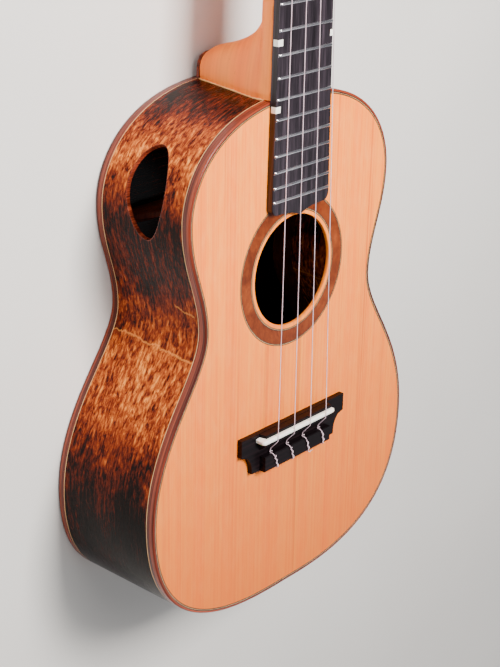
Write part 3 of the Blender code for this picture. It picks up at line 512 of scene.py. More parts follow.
# top binding with rounded outer edge, its inlaid lines, and the light line below
sweep_ring("binding_top_rosewood", [(1.35, -0.02), (0.85, 0.0), (0.45, -0.06), (0.18, -0.25), (0.04, -0.55), (0.0, -1.0),
                                    (0.0, -4.85), (1.6, -4.85), (1.6, -0.9), (1.35, -0.9)], M["bind"], replaces=("binding_top",))
sweep_ring("purfling_outer_black", [(1.35, -0.02), (1.35, -1.1), (1.97, -1.1), (1.97, -0.02)], M["black_line"])
sweep_ring("purfling_white", [(1.97, -0.01), (1.97, -1.1), (2.12, -1.1), (2.12, -0.01)], M["white_line"])
sweep_ring("purfling_inner_black", [(2.12, -0.02), (2.12, -1.1), (2.75, -1.1), (2.75, -0.02)], M["black_line"])
sweep_ring("side_line_top", [(0.0, -4.85), (0.0, -5.25), (1.6, -5.25), (1.6, -4.85)], M["white_line"])
B = lambda y: back_z(y)
sweep_ring("binding_back_rosewood", [(0.0, 4.85), (0.0, 0.9), (0.06, 0.5), (0.22, 0.2), (0.5, 0.04), (0.9, 0.0), (1.35, 0.0),
                                     (1.35, 0.9), (1.6, 0.9), (1.6, 4.85)], M["bind"], zbase=B, replaces=("binding_back",))
sweep_ring("back_line_black", [(1.35, 0.01), (1.72, 0.01), (1.72, 1.1), (1.35, 1.1)], M["black_line"], zbase=B)
sweep_ring("back_line_white", [(1.72, 0.01), (2.08, 0.01), (2.08, 1.1), (1.72, 1.1)], M["white_line"], zbase=B)
sweep_ring("back_line_inner", [(2.08, 0.01), (2.5, 0.01), (2.5, 1.1), (2.08, 1.1)], M["black_line"], zbase=B)
sweep_ring("side_line_back", [(0.0, 5.25), (0.0, 4.85), (1.6, 4.85), (1.6, 5.25)], M["white_line"], zbase=B)


# ------------------------------------------------------------ top and back --
def radial_plate(name, outer, inner_loops, z0, z1, mat, replaces, zbase=None):
    """A plate from the outer outline to a hole, with concentric rows between."""
    n = len(outer)
    rows = [outer] + inner_loops
    verts, faces = [], []
    for zz in (z1, z0):
        for r in rows:
            for p in r:
                verts.append((p[0], p[1], zz + (zbase(p[1]) if zbase else 0)))
    k = len(rows)
    for side in (0, 1):
        o = side * k * n
        for j in range(k - 1):
            for i in range(n):
                m = (i + 1) % n
                f = (o + j * n + i, o + j * n + m, o + (j + 1) * n + m, o + (j + 1) * n + i)
                faces.append(f if side == 0 else f[::-1])
    for j in (0, k - 1):
        for i in range(n):
            m = (i + 1) % n
            faces.append((j * n + i, k * n + j * n + i, k * n + j * n + m, j * n + m))
    return finish_mesh(name, mesh_from(name, verts, faces), mat, 30, replaces=replaces)


def hole_loop(r, like, cx=0.0, cy=HOLE_Y):
    """A circle sampled in the directions of the outline's points."""
    a = np.linspace(0, 2 * math.pi, len(like), endpoint=False)
    return np.stack([cx + r * np.sin(a), cy + r * np.cos(a)], 1)


OUTER = at(2.75)
# direction-matched hole loop: uniform angle, starts at the heel, clockwise
H0 = hole_loop(HOLE_R, OUTER)
mids = [OUTER * (1 - t) + hole_loop(34.7, OUTER) * t for t in (0.12, 0.3, 0.55, 0.8)]
radial_plate("soundboard_plate", OUTER, mids + [hole_loop(34.7, OUTER)], -2.2, 0.0, M["top"], ("soundboard",))
radial_plate("soundhole_lip", hole_loop(34.7, OUTER), [hole_loop(33.0, OUTER), hole_loop(32.62, OUTER)], -2.2, 0.0, M["top"], ())
def torus_edge():
    """The rounded and lightly sanded edge of the sound hole."""
    n = 144
    prof = [(32.62, 0.0), (32.48, -0.06), (32.4, -0.25), (32.4, -1.95), (32.5, -2.2), (32.62, -2.2)]
    verts = [(r * math.sin(2 * math.pi * i / n), HOLE_Y + r * math.cos(2 * math.pi * i / n), z) for r, z in prof for i in range(n)]
    k = len(prof)
    faces = [(j * n + i, j * n + (i + 1) % n, ((j + 1) % k) * n + (i + 1) % n, ((j + 1) % k) * n + i) for j in range(k) for i in range(n)]
    finish_mesh("soundhole_edge", mesh_from("soundhole_edge", verts, faces), M["top"], 50)


torus_edge()


def ring_disc(name, r0, r1, z, depth, mat, replaces=(), n=192, uvk=1.0):
    verts, uvs = [], []
    prof = [(r0, z), (r1, z), (r1, z - depth), (r0, z - depth)]
    for r, zz in prof:
        for i in range(n):
            a = 2 * math.pi * i / n
            verts.append((r * math.sin(a), HOLE_Y + r * math.cos(a), zz))
            uvs.append((a * r * MM, r * MM))
    faces = [(j * n + i, j * n + (i + 1) % n, ((j + 1) % 4) * n + (i + 1) % n, ((j + 1) % 4) * n + i)
             for j in range(4) for i in range(n)]
    return finish_mesh(name, mesh_from(name, verts, faces, uvs), mat, 30, replaces=replaces)


ring_disc("rosette_band", 35.75, 43.45, 0.035, 0.6, M["rosette"], ("rosette",))
for nm, r0, r1, mt in (("rosette_line_1", 34.6, 35.12, "black_line"), ("rosette_line_2", 35.12, 35.27, "white_line"), ("rosette_line_3", 35.27, 35.8, "black_line"),
                       ("rosette_line_4", 43.4, 43.93, "black_line"), ("rosette_line_5", 43.93, 44.08, "white_line"), ("rosette_line_6", 44.08, 44.6, "black_line")):
    ring_disc(nm, r0, r1, 0.04, 0.5, M[mt])

inner_b = [OUTER * (1 - t) + np.array([[0, 10.0]]) * t for t in (0.1, 0.3, 0.55, 0.8, 0.97)]
radial_plate("back_panel", OUTER, inner_b, 0.0, 2.2, M["back"], ("back_plate",), zbase=B)


# -------------------------------------------------------------------- ribs --
def port_curve(n=126):
    nodes = [(-26.9, -1.2), (-25.2, 4.8), (-17.9, 10.1), (-8.0, 13.6), (2.5, 14.6), (12.5, 12.8),
             (21.0, 9.2), (26.6, 3.6), (25.2, -3.0), (18.0, -8.4), (7.0, -12.4), (-4.0, -13.4),
             (-14.8, -11.4), (-22.6, -7.3)]
    pts = []
    k = len(nodes)
    for i in range(k):
        p, a, d, q = (nodes[(i + j) % k] for j in (-1, 0, 1, 2))
        b = [a[c] + (d[c] - p[c]) / 6 for c in (0, 1)]
        e = [d[c] - (q[c] - a[c]) / 6 for c in (0, 1)]
        pts.append(bez(a, b, e, d, n // k))
    return np.vstack(pts)


PORT_S, PORT_Z = 101.5, -34.0


def on_arc(s):
    """Point and inward normal of the treble half at arc length s."""
    i = np.clip(np.searchsorted(_s, s) - 1, 0, len(_s) - 2)
    t = (s - _s[i]) / (_s[i + 1] - _s[i])
    P = HALF[i] * (1 - t) + HALF[i + 1] * t
    N = NRM[i] * (1 - t) + NRM[i + 1] * t
    return P, N / np.linalg.norm(N)


def rib(name, side, node):
    rows = 7
    n = len(HALF)
    verts, uvs, faces = [], [], []
    for depth in (0.0, 2.3):
        for r in range(rows):
            for i in range(n):
                p = HALF[i] + NRM[i] * depth
                x = p[0] if 0 < i < n - 1 else 0.0
                hi, lo = -5.2, back_z(HALF[i][1]) + 5.2
                z = hi + (lo - hi) * r / (rows - 1)
                verts.append((side * x, p[1], z))
                uvs.append((_s[i] * MM, z * MM))
    o = rows * n
    for r in range(rows - 1):
        for i in range(n - 1):
            a = r * n + i
            faces.append((a, a + 1, a + n + 1, a + n))
            faces.append((o + a, o + a + n, o + a + n + 1, o + a + 1))
    for i in range(n - 1):
        faces.append((i, o + i, o + i + 1, i + 1))
        b = (rows - 1) * n + i
        faces.append((b, b + 1, o + b + 1, o + b))
    for r in range(rows - 1):
        for e in (0, n - 1):
            a = r * n + e
            faces.append((a, a + n, o + a + n, o + a))
    return finish_mesh(name, mesh_from(name, verts, faces, uvs), M["rib"], 40, replaces=(node,))


rib_t = rib("rib_treble", 1, "side_treble")
rib_b = rib("rib_bass", -1, "side_bass")


def port_tool():
    c = port_curve()
    n = len(c)
    verts = []
    for depth in (-16.0, 8.0):
        for s, h in c:
            P, N = on_arc(PORT_S + s)
            q = P + N * depth
            verts.append((-q[0], q[1], PORT_Z + h))
    faces = [(i, (i + 1) % n, n + (i + 1) % n, n + i) for i in range(n)]
    faces += [tuple(range(n)), tuple(range(2 * n - 1, n - 1, -1))]
    me = mesh_from("port_tool", verts, faces)
    me.transform(ROOT)
    ob = bpy.data.objects.new("port_tool", me)
    COL.objects.link(ob)
    return ob


def apply_bool(ob, tool, op="DIFFERENCE"):
    m = ob.modifiers.new("cut", "BOOLEAN")
    m.object, m.operation, m.solver = tool, op, "EXACT"
    bpy.context.view_layer.update()
    dg = bpy.context.evaluated_depsgraph_get()
    me = bpy.data.meshes.new_from_object(ob.evaluated_get(dg))
    ob.modifiers.clear()
    old = ob.data
    ob.data = me
    bpy.data.meshes.remove(old)
    bpy.data.objects.remove(tool)


apply_bool(rib_b, port_tool())
rib_b.data.shade_smooth()
rib_b.data.set_sharp_from_angle(angle=math.radians(40))


def port_rim():
    """A thin dark edging glued round the port's cut edge."""
    c = port_curve(168)
    n = len(c)
    t = np.roll(c, -1, 0) - np.roll(c, 1, 0)
    t /= np.linalg.norm(t, axis=1)[:, None]
    nrm = np.stack([t[:, 1], -t[:, 0]], 1)
    ctr = c.mean(0)
    if ((c + nrm - ctr) ** 2).sum() > ((c - nrm - ctr) ** 2).sum():
        nrm = -nrm                                       # now towards the centre
    for nm, a, b, d0, d1, mt in (("port_edge_dark", 0.0, 0.3, 0.02, 2.45, "cap"),):
        verts, uvs = [], []
        for off, dep in ((a, d0), (b, d0 + 0.05), (b, d1), (a, d1)):
            for i in range(n):
                s, h = c[i] + nrm[i] * off
                P, N = on_arc(PORT_S + s)
                q = P + N * dep
                verts.append((-q[0], q[1], PORT_Z + h))
                uvs.append((i * 0.001, off * 0.001))
        faces = [(j * n + i, j * n + (i + 1) % n, ((j + 1) % 4) * n + (i + 1) % n, ((j + 1) % 4) * n + i) for j in range(4) for i in range(n)]
        finish_mesh(nm, mesh_from(nm, verts, faces, uvs), M[mt], 40)


port_rim()

for nm, m in (("neck_block", "lining"), ("tail_block", "lining"), ("lining_top_bass", "lining"), ("lining_top_treble", "lining"),
              ("lining_back_bass", "lining"), ("lining_back_treble", "lining"), ("brace_top_upper", "lining"),
              ("brace_top_lower", "lining"), ("brace_fan_bass", "lining"), ("brace_fan_treble", "lining"),
              ("brace_back_upper", "lining"), ("brace_back_lower", "lining"), ("heel_cap", "cap"),
              ("tuner_plate_bass", "steel"), ("tuner_plate_treble", "steel"), ("nut", "bone")):
    ob = NODES[nm]
    ob.data.materials.clear()
    ob.data.materials.append(M[m])

# -------------------------------------------------------------------- neck --


def board_half(y):
    return (NUT_W + (SADDLE_W - NUT_W) * (SCALE - y) / SCALE) / 2


def spow(v, e):
    return math.copysign(abs(v) ** e, v)


def smooth_table(tab, q):
    """Cubic (Catmull) interpolation of rows of numbers by their first column."""
    t = np.array(tab, float)
    x = t[:, 0]
    xs = np.unique(np.concatenate([np.linspace(a, b, q, endpoint=False) for a, b in zip(x, x[1:])] + [[x[-1]]]))
    out = [xs]
    for c in range(1, t.shape[1]):
        y = t[:, c]
        m = np.gradient(y, x)
        i = np.clip(np.searchsorted(x, xs, side="right") - 1, 0, len(x) - 2)
        h = x[i + 1] - x[i]
        u = (xs - x[i]) / h
        out.append((2 * u ** 3 - 3 * u ** 2 + 1) * y[i] + (u ** 3 - 2 * u ** 2 + u) * h * m[i]
                   + (-2 * u ** 3 + 3 * u ** 2) * y[i + 1] + (u ** 3 - u ** 2) * h * m[i + 1])
    return np.stack(out, 1)


def shell(rows, name):
    n = len(rows[0])
    verts = [v for r in rows for v in r]
    faces = []
    for j in range(len(rows) - 1):
        for i in range(n):
            m = (i + 1) % n
            faces.append((j * n + i, j * n + m, (j + 1) * n + m, (j + 1) * n + i))
    faces.append(tuple(range(n)))
    faces.append(tuple(range(len(verts) - 1, len(verts) - n - 1, -1)))
    me = mesh_from(name, verts, faces)
    me.transform(ROOT)
    ob = bpy.data.objects.new(name, me)
    COL.objects.link(ob)
    return ob


def neck_shape():
    n = 44
    rows = []
    tab = smooth_table([(TOP_Y + GAP, 17.5), (225, 17.0), (262, 16.2), (320, 15.2), (380, 14.4), (425, 13.8)], 5)
    sec = [(Matrix.Translation((0, y, 0)), board_half(y), d, 0.92, 0.80) for y, d in tab]
    sec.append((Matrix.Translation((0, HEAD_Y - 0.4, 0)), board_half(SCALE), 13.6, 0.85, 0.72))
    head = smooth_table([(5, 18.7, 13.5, 0.55), (13, 21.6, HEAD_T, 0.22), (22, 25.6, HEAD_T, 0.12), (30, 27.2, HEAD_T, 0.10),
                         (52, 26.4, HEAD_T, 0.10), (78, 26.8, HEAD_T, 0.10), (104, 29.2, HEAD_T, 0.10), (114, 29.0, HEAD_T, 0.10),
                         (120, 26.5, HEAD_T, 0.10), (125, 20.5, HEAD_T, 0.10), (HEAD_L, 9.5, HEAD_T, 0.10)], 4)
    for u, w, d, e in head:
        sec.append((HEAD @ Matrix.Translation((0, u, 0)), w, d, max(e, 0.08), max(e, 0.08)))
    for m, hw, d, e1, e2 in sec:
        row = []
        for k in range(n + 1):
            a = math.pi * k / n
            if 0 < k < n:
                p = Vector((hw * spow(math.cos(a), e1), 0, -d * spow(math.sin(a), e2)))
            else:
                p = Vector((hw * (1 if k == 0 else -1), 0, 0))
            row.append(m @ p)
        rows.append(row)
    return shell(rows, "neck_form")


HEEL = ((-11.5, 262, 1.5), (-14.5, 252, 1.45), (-17.0, 243, 1.35), (-20.0, 233.5, 1.2), (-24.0, 226, 1.02), (-30.0, 220.6, 0.88),
        (-38.0, 216.4, 0.78), (-48.0, 212.8, 0.7), (-56.0, 210.2, 0.66), (-61.0, 206.8, 0.64))


def heel_half(z):
    return min(23.0, 25.4 + 0.2 * z)


def heel_section(p, e, b, z, n=44):
    y0 = TOP_Y + GAP
    return [(b * spow(math.cos(math.pi * k / n), e), y0 + (p - y0) * (0 if k in (0, n) else spow(math.sin(math.pi * k / n), e)), z)
            for k in range(n + 1)]


def heel_shape():
    rows = []
    for z, p, e in smooth_table([(-z, p, e) for z, p, e in HEEL], 5):
        z = -z
        rows.append(heel_section(p, e, heel_half(z), z))
    rows.insert(0, heel_section(262, 1.5, 23.4, -1.0))
    return shell(rows, "heel_form")


neck = neck_shape()
apply_bool(neck, heel_shape(), "UNION")


def evaluated(ob):
    bpy.context.view_layer.update()
    dg = bpy.context.evaluated_depsgraph_get()
    me = bpy.data.meshes.new_from_object(ob.evaluated_get(dg))
    ob.modifiers.clear()
    old = ob.data
    ob.data = me
    bpy.data.meshes.remove(old)


rm = neck.modifiers.new("fair", "REMESH")
rm.mode, rm.voxel_size, rm.adaptivity = "VOXEL", 0.0009, 0.0
sm = neck.modifiers.new("sand", "SMOOTH")
sm.factor, sm.iterations = 0.5, 4
evaluated(neck)
# the planed top face and the joint face at the body stay flat and full size
me = neck.data
inv = ROOT.inverted()
for v in me.vertices:
    p = inv @ v.co
    ch = False
    if p.z > -0.45 and p.y < HEAD_Y:
        p.z = 0.0
        ch = True
    if p.y < TOP_Y + GAP + 0.5:
        p.y = float(np.interp(abs(p.x), HALF[:44, 0], HALF[:44, 1])) + 0.36
        ch = True
    if ch:
        v.co = ROOT @ p
for side in (-1, 1):
    for u in (34.0, 82.0):
        bm = bmesh.new()
        bmesh.ops.create_cone(bm, cap_ends=True, segments=48, radius1=3.2, radius2=3.2, depth=30)
        tm = bpy.data.meshes.new("bore")
        bm.to_mesh(tm)
        bm.free()
        tm.transform(ROOT @ HEAD @ Matrix.Translation((side * 14.5, u, -6)))
        to = bpy.data.objects.new("bore", tm)
        COL.objects.link(to)
        apply_bool(neck, to)


def heel_line():
    """The pale veneer line glued between heel and ribs."""
    rows, cols = 16, 13
    verts, faces = [], []
    for dy in (0.37, 0.0):
        for r in range(rows):
            z = -5.3 - 55.6 * r / (rows - 1)
            for c in range(cols):
                x = (heel_half(z) + 0.3) * (2 * c / (cols - 1) - 1)
                verts.append((x, float(np.interp(abs(x), HALF[:44, 0], HALF[:44, 1])) + dy, z))
    o = rows * cols
    for r in range(rows - 1):
        for c in range(cols - 1):
            a = r * cols + c
            faces.append((a, a + 1, a + cols + 1, a + cols))
            faces.append((o + a, o + a + cols, o + a + cols + 1, o + a + 1))
    for c in range(cols - 1):
        faces.append((c, o + c, o + c + 1, c + 1))
        a = (rows - 1) * cols + c
        faces.append((a, a + 1, o + a + 1, o + a))
    for r in range(rows - 1):
        for e in (0, cols - 1):
            a = r * cols + e
            faces.append((a, a + cols, o + a + cols, o + a))
    finish_mesh("heel_line", mesh_from("heel_line", verts, faces, [(v[2] * MM, v[0] * MM) for v in verts]), M["white_line"], 40)


heel_line()
neck.name = "neck_carved"
neck.data.materials.clear()
neck.data.materials.append(M["neck"])
neck.data.shade_smooth()
neck.data.set_sharp_from_angle(angle=math.radians(50))
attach(neck, "instrument")
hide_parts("neck")


# --------------------------------------------------------------- fretboard --
def slab(name, pts, z0, z1, mat, bevel=0.0, segs=2, replaces=(), smooth=35, body="instrument"):
    n = len(pts)
    verts = [(x, y, z1) for x, y in pts] + [(x, y, z0) for x, y in pts]
    faces = [tuple(range(n)), tuple(range(2 * n - 1, n - 1, -1))]
    faces += [(i, (i + 1) % n, n + (i + 1) % n, n + i) for i in range(n)]
    me = mesh_from(name, verts, faces)
    ob = finish_mesh(name, me, mat, smooth, replaces=replaces, body=body)
    if bevel:
        b = ob.modifiers.new("edge", "BEVEL")
        b.width, b.segments, b.limit_method, b.angle_limit = bevel * MM, segs, "ANGLE", math.radians(50)
    return ob


END_Y = 128.4


def end_shape():
    w = board_half(END_Y)
    pts = []
    for k in range(7):
        a = math.pi / 2 * k / 6
        pts.append((w - 4.2 + 4.2 * math.cos(a), END_Y + 5.0 - 5.0 * math.sin(a)))
    for k in range(1, 13):
        t = k / 13
        pts.append((w - 4.2 - (w - 6.8) * t, END_Y - 0.2 * t - 2.4 * t ** 3))
    for k in range(1, 5):
        a = k / 5
        pts.append((2.6 - 2.6 * a, END_Y - 2.6 - 0.7 * math.sin(a * math.pi / 2)))
    pts.append((0.0, END_Y - 3.3))
    return pts + [(-x, y) for x, y in pts[-2::-1]]


slab("fretboard_blank", [(NUT_W / 2, SCALE)] + end_shape() + [(-NUT_W / 2, SCALE)], 0.0, BOARD_TOP, M["board"], 0.35, 3, ("fretboard",))


def fret_y(n):
    return SCALE * 2 ** (-n / 12)


for n in range(1, FRETS + 1):
    y, hw = fret_y(n), board_half(fret_y(n)) - 0.35
    rows = []
    for x, k in ((-hw, 0.30), (-hw + 0.25, 0.62), (-hw + 0.7, 0.92), (-hw + 1.1, 1.0), (hw - 1.1, 1.0), (hw - 0.7, 0.92), (hw - 0.25, 0.62), (hw, 0.30)):
        rows.append([(x, y - 0.95 * math.cos(math.pi * j / 10), BOARD_TOP - 0.02 + 1.05 * k * math.sin(math.pi * j / 10)) for j in range(11)])
    verts = [v for r in rows for v in r]
    m = 11
    faces = [(j * m + i, j * m + (i + 1) % m, (j + 1) * m + (i + 1) % m, (j + 1) * m + i) for j in range(len(rows) - 1) for i in range(m)]
    faces += [tuple(range(m)), tuple(range(len(verts) - 1, len(verts) - m - 1, -1))]
    finish_mesh(f"fretwire_{n:02d}", mesh_from("f", verts, faces), M["fret"], 50, replaces=(f"fret_{n:02d}",))

# bone position markers let into the bass edge at frets 5, 7, 10, 12 and 15
for f in (5, 7, 10, 12, 15):
    y = (fret_y(f) + fret_y(f - 1)) / 2
    w = board_half(y)
    hl = 1.75
    pts = [(-w - 0.17, y - hl), (-w - 0.17, y + hl), (-w + (3.8 if f in (12, 15) else 3.0), y + hl), (-w + (3.8 if f in (12, 15) else 3.0), y - hl)]
    slab(f"marker_bass_{f}", pts, 1.0, BOARD_TOP + 0.03, M["marker"], 0.06, 2)
    if f == 12:
        pts = [(w + 0.17, y - hl), (w - 2.2, y - hl), (w - 2.2, y + hl), (w + 0.17, y + hl)]
        slab(f"marker_treble_{f}", pts, 1.0, BOARD_TOP + 0.03, M["marker"], 0.06, 2)

# ------------------------------------------------------------------ bridge --
BR_X, BR_HALF, BR_FRONT, BR_REAR = 1.5, 46.3, 0.1, -23.8
WING_T, RAISED_T, TIE_T, RAISED_HALF = 3.4, 8.1, 7.6, 29.5
CH0, CH1 = -14.3, -10.0
SX0, SX1, SY0, SY1 = -33.0, 31.6, -4.85, -2.1
SADDLE_TOP = 10.25
SP, NP_ = 14.54, 9.64
STR_R = 0.25
Z_S, Z_N = SADDLE_TOP + GAP + STR_R, 6.35 + GAP + STR_R
HOLE_Z = 4.9


def bridge_plan():
    pts = [(BR_HALF, BR_FRONT), (BR_HALF, -10.7), (BR_HALF - 3.0, -11.6)]
    for k in range(1, 16):
        a = math.pi / 2 * k / 16
        pts.append((BR_HALF - 3.0 - 5.95 * math.sin(a), -11.6 - 10.1 * (1 - math.cos(a)) ** 0.85))
    pts += [(BR_HALF - 8.95, -21.9), (BR_HALF - 9.15, BR_REAR)]
    return [(BR_X + x, y) for x, y in pts] + [(BR_X - x, y) for x, y in pts[::-1]]


def bar(name, prof, x0, x1, ramp=0.0):
    verts = [(x0 - ramp * (RAISED_T - z) / RAISED_T, y, z) for y, z in prof] + [(x1 + ramp * (RAISED_T - z) / RAISED_T, y, z) for y, z in prof]
    n = len(prof)
    faces = [tuple(range(n)), tuple(range(2 * n - 1, n - 1, -1))] + [(i, (i + 1) % n, n + (i + 1) % n, n + i) for i in range(n)]
    me = mesh_from(name, verts, faces)
    me.transform(ROOT)
    ob = bpy.data.objects.new(name, me)
    COL.objects.link(ob)
    return ob


bridge = slab("bridge_carved", bridge_plan(), 0.0, WING_T, M["bridge"], replaces=("bridge",))
apply_bool(bridge, bar("r", [(BR_FRONT - 0.05, 1.0), (BR_FRONT - 0.4, RAISED_T - 0.4), (BR_FRONT - 0.8, RAISED_T), (-7.0, RAISED_T - 0.3),
                             (-8.9, WING_T + 2.2), (-10.0, WING_T + 0.6), (-10.0, 1.0)], 0.7 - RAISED_HALF, 0.7 + RAISED_HALF, 2.0), "UNION")
apply_bool(bridge, bar("t", [(CH0, 1.0), (CH0, TIE_T - 0.3), (CH0 - 0.4, TIE_T), (BR_REAR + 0.6, TIE_T), (BR_REAR + 0.05, TIE_T - 0.5),
                             (BR_REAR + 0.05, 1.0)], 0.7 - RAISED_HALF, 0.7 + RAISED_HALF, 0.6), "UNION")
apply_bool(bridge, bar("s", [(SY0 - 0.02, 3.7), (SY1 + 0.02, 3.7), (SY1 + 0.02, 20), (SY0 - 0.02, 20)], SX0 - 0.05, SX1 + 0.05))
for k in range(4):
    bm = bmesh.new()
    bmesh.ops.create_cone(bm, cap_ends=True, segments=20, radius1=0.85, radius2=0.85, depth=30)
    tm = bpy.data.meshes.new("h")
    bm.to_mesh(tm)
    bm.free()
    tm.transform(ROOT @ Matrix.Translation(((k - 1.5) * SP + 0.3, -18, HOLE_Z)) @ Matrix.Rotation(-math.pi / 2, 4, "X"))
    to = bpy.data.objects.new("h", tm)
    COL.objects.link(to)
    apply_bool(bridge, to)
bridge.data.shade_smooth()
bridge.data.set_sharp_from_angle(angle=math.radians(30))
bv = bridge.modifiers.new("edge", "BEVEL")
bv.width, bv.segments, bv.limit_method, bv.angle_limit = 0.00022, 2, "ANGLE", math.radians(40)
bv.use_clamp_overlap = True

# saddle: bone with rounded crown and rounded ends
rows = []
nx = 90
for i in range(nx + 1):
    x = SX0 + (SX1 - SX0) * i / nx
    e = max(0.0, 1 - min(x - SX0, SX1 - x) / 2.2)
    top = SADDLE_TOP - 1.3 * (1 - math.sqrt(max(0.0, 1 - e * e)))
    hw = (SY1 - SY0) / 2 * (0.55 + 0.45 * math.sqrt(max(0.0, 1 - (e * 0.98) ** 2)))
    yc = (SY0 + SY1) / 2
    row = [(x, yc - hw, 3.75), (x, yc - hw, top - 0.95)]
    for j in range(1, 8):
        a = math.pi * j / 8
        row.append((x, yc - hw * math.cos(a), top - 0.95 + 0.95 * math.sin(a) ** 0.8))
    row += [(x, yc + hw, top - 0.95), (x, yc + hw, 3.75)]
    rows.append(row)
sad = shell(rows, "saddle_bone")
sad.data.materials.append(M["bone"])
sad.data.shade_smooth()
sad.data.set_sharp_from_angle(angle=math.radians(60))
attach(sad, "instrument")
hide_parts("saddle")


# ----------------------------------------------------------------- strings --
POST_X, POST_U, POST_R, POST_H = 14.5, (34.0, 82.0), 2.9, 13.5


def tube(name, pts, r, mat, body="instrument", replaces=(), smooth_path=False, res=3):
    cu = bpy.data.curves.new(name, "CURVE")
    cu.dimensions = "3D"
    cu.bevel_depth = r * MM
    cu.bevel_resolution = res
    cu.use_fill_caps = True
    sp = cu.splines.new("NURBS" if smooth_path else "POLY")
    sp.points.add(len(pts) - 1)
    for q, p in zip(sp.points, pts):
        v = ROOT @ Vector(p)
        q.co = (v.x, v.y, v.z, 1)
    if smooth_path:
        sp.order_u = 3
        sp.use_endpoint_u = True
        cu.resolution_u = 8
    cu.materials.append(mat)
    ob = bpy.data.objects.new(name, cu)
    COL.objects.link(ob)
    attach(ob, body)
    if replaces:
        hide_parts(*replaces)
    return ob


def string_points(k):
    xs = (k - 1.5) * SP + 0.3
    xn = (k - 1.5) * NP_
    side = -1 if k < 2 else 1
    u = POST_U[0] if k in (0, 3) else POST_U[1]
    rr = POST_R + GAP + STR_R + 0.1
    pts = [(xs, BR_REAR + 0.6, HOLE_Z), (xs, CH1 - 2.0, HOLE_Z), (xs, CH1 - 0.9, HOLE_Z + 0.6),
           (xs, SY0 - 0.6, Z_S - 0.45), (xs, (SY0 + SY1) / 2, Z_S - 0.27), (xs, SY1 + 0.4, Z_S - 0.28),
           (xn, SCALE + GAP, Z_N), (xn, SCALE + GAP + NUT_L, Z_N - 0.1)]
    post = Vector((side * POST_X, u, 0))
    lead = HEAD.inverted() @ Vector(pts[-1])
    dx, dy = post.x - lead.x, post.y - lead.y
    start = math.atan2(-dy, -dx) - math.acos(rr / math.hypot(dx, dy)) * side
    for i in range(int(1.5 * 32) + 1):
        a = start - side * 2 * math.pi * i / 32
        w = 8.4 - i / 32 * (2 * STR_R + 0.12)
        pts.append(tuple(HEAD @ Vector((post.x + rr * math.cos(a), post.y + rr * math.sin(a), w))))
    return pts


for k in range(4):
    tube(f"string_run_{k + 1}", string_points(k), STR_R, M["nylon"], replaces=(f"string_{k + 1}",))
    xs = (k - 1.5) * SP + 0.3
    # the tied end: out of the hole, up the rear of the block, over its top and
    # twice round the standing part at the front edge
    lean = (3.4, 3.0, 2.6, 1.8)[k]
    pts = [(xs, BR_REAR + 1.2, HOLE_Z), (xs + 0.1, BR_REAR - 0.45, HOLE_Z + 0.3), (xs + lean, BR_REAR - 0.42, TIE_T - 0.9), (xs + lean * 0.95, BR_REAR + 0.1, TIE_T + 0.36),
           (xs + lean * 0.75, BR_REAR + 3.2, TIE_T + 0.44), (xs + lean * 0.35, -17.0, TIE_T + 0.44), (xs - 0.1, CH0 - 0.6, TIE_T + 0.42),
           (xs - 0.75, CH0 + 0.55, TIE_T - 0.3), (xs - 0.8, CH0 + 0.75, HOLE_Z + 0.9), (xs - 0.2, CH0 + 0.7, HOLE_Z - 0.65), (xs + 0.75, CH0 + 0.8, HOLE_Z + 0.2),
           (xs + 0.5, CH0 + 1.3, HOLE_Z + 0.9)]
    tube(f"string_tie_{k + 1}", pts, STR_R, M["nylon"], smooth_path=True)
    # twisted tail lying beside it on the block
    tw = []
    for i in range(22):
        t = i / 21
        y = CH0 - 0.9 + (BR_REAR + 1.2 - CH0) * t
        xx = xs + lean * (0.1 + 0.85 * t) + 0.75 * math.cos(t * 15 + k)
        tw.append((xx, y, TIE_T + 0.42 + 0.28 * (1 + math.sin(t * 15 + k))))
    tube(f"string_tail_{k + 1}", tw, STR_R * 0.92, M["nylon"], smooth_path=True)
tube("string_curl", [((1) * SP / 2 + 0.3 + 2.6, BR_REAR - 0.3, TIE_T + 0.3), (SP / 2 + 3.9, BR_REAR - 1.2, TIE_T + 0.5), (SP / 2 + 5.2, BR_REAR - 0.8, TIE_T - 0.2),
                     (SP / 2 + 6.2, BR_REAR - 0.1, TIE_T + 0.9)], STR_R * 0.9, M["nylon"], smooth_path=True)

# ------------------------------------------------------------------ tuners --
TEETH, GEAR_R = 13, 4.2
PITCH = 2 * math.pi * GEAR_R / TEETH
GEAR_TIP, GEAR_ROOT, GEAR_W = 4.7, 3.5, 2.0
WORM_TIP, WORM_ROOT = 2.45, 1.35
CENTRES = GEAR_TIP + WORM_ROOT + GAP + 0.02
PLANE_W = -(HEAD_T + GAP + 1.1 + GAP + WORM_TIP + 0.25)
KNOB_X = 44.0 - POST_X - 8.0
EAR = 5.6


def lathe(name, prof, n, mat, mtx, body, axis="Z", squash=1.0, smooth=35, replaces=()):
    verts = []
    for r, z in prof:
        for i in range(n):
            a = 2 * math.pi * i / n
            p = (r * math.cos(a), r * math.sin(a) * squash, z)
            verts.append((p[2], p[0], p[1]) if axis == "X" else p)
    faces = [(j * n + i, j * n + (i + 1) % n, (j + 1) * n + (i + 1) % n, (j + 1) * n + i) for j in range(len(prof) - 1) for i in range(n)]
    faces += [tuple(range(n)), tuple(range(len(verts) - 1, len(verts) - n - 1, -1))]
    return finish_mesh(name, mesh_from(name, verts, faces), mat, smooth, world=ROOT @ mtx, body=body, replaces=replaces)


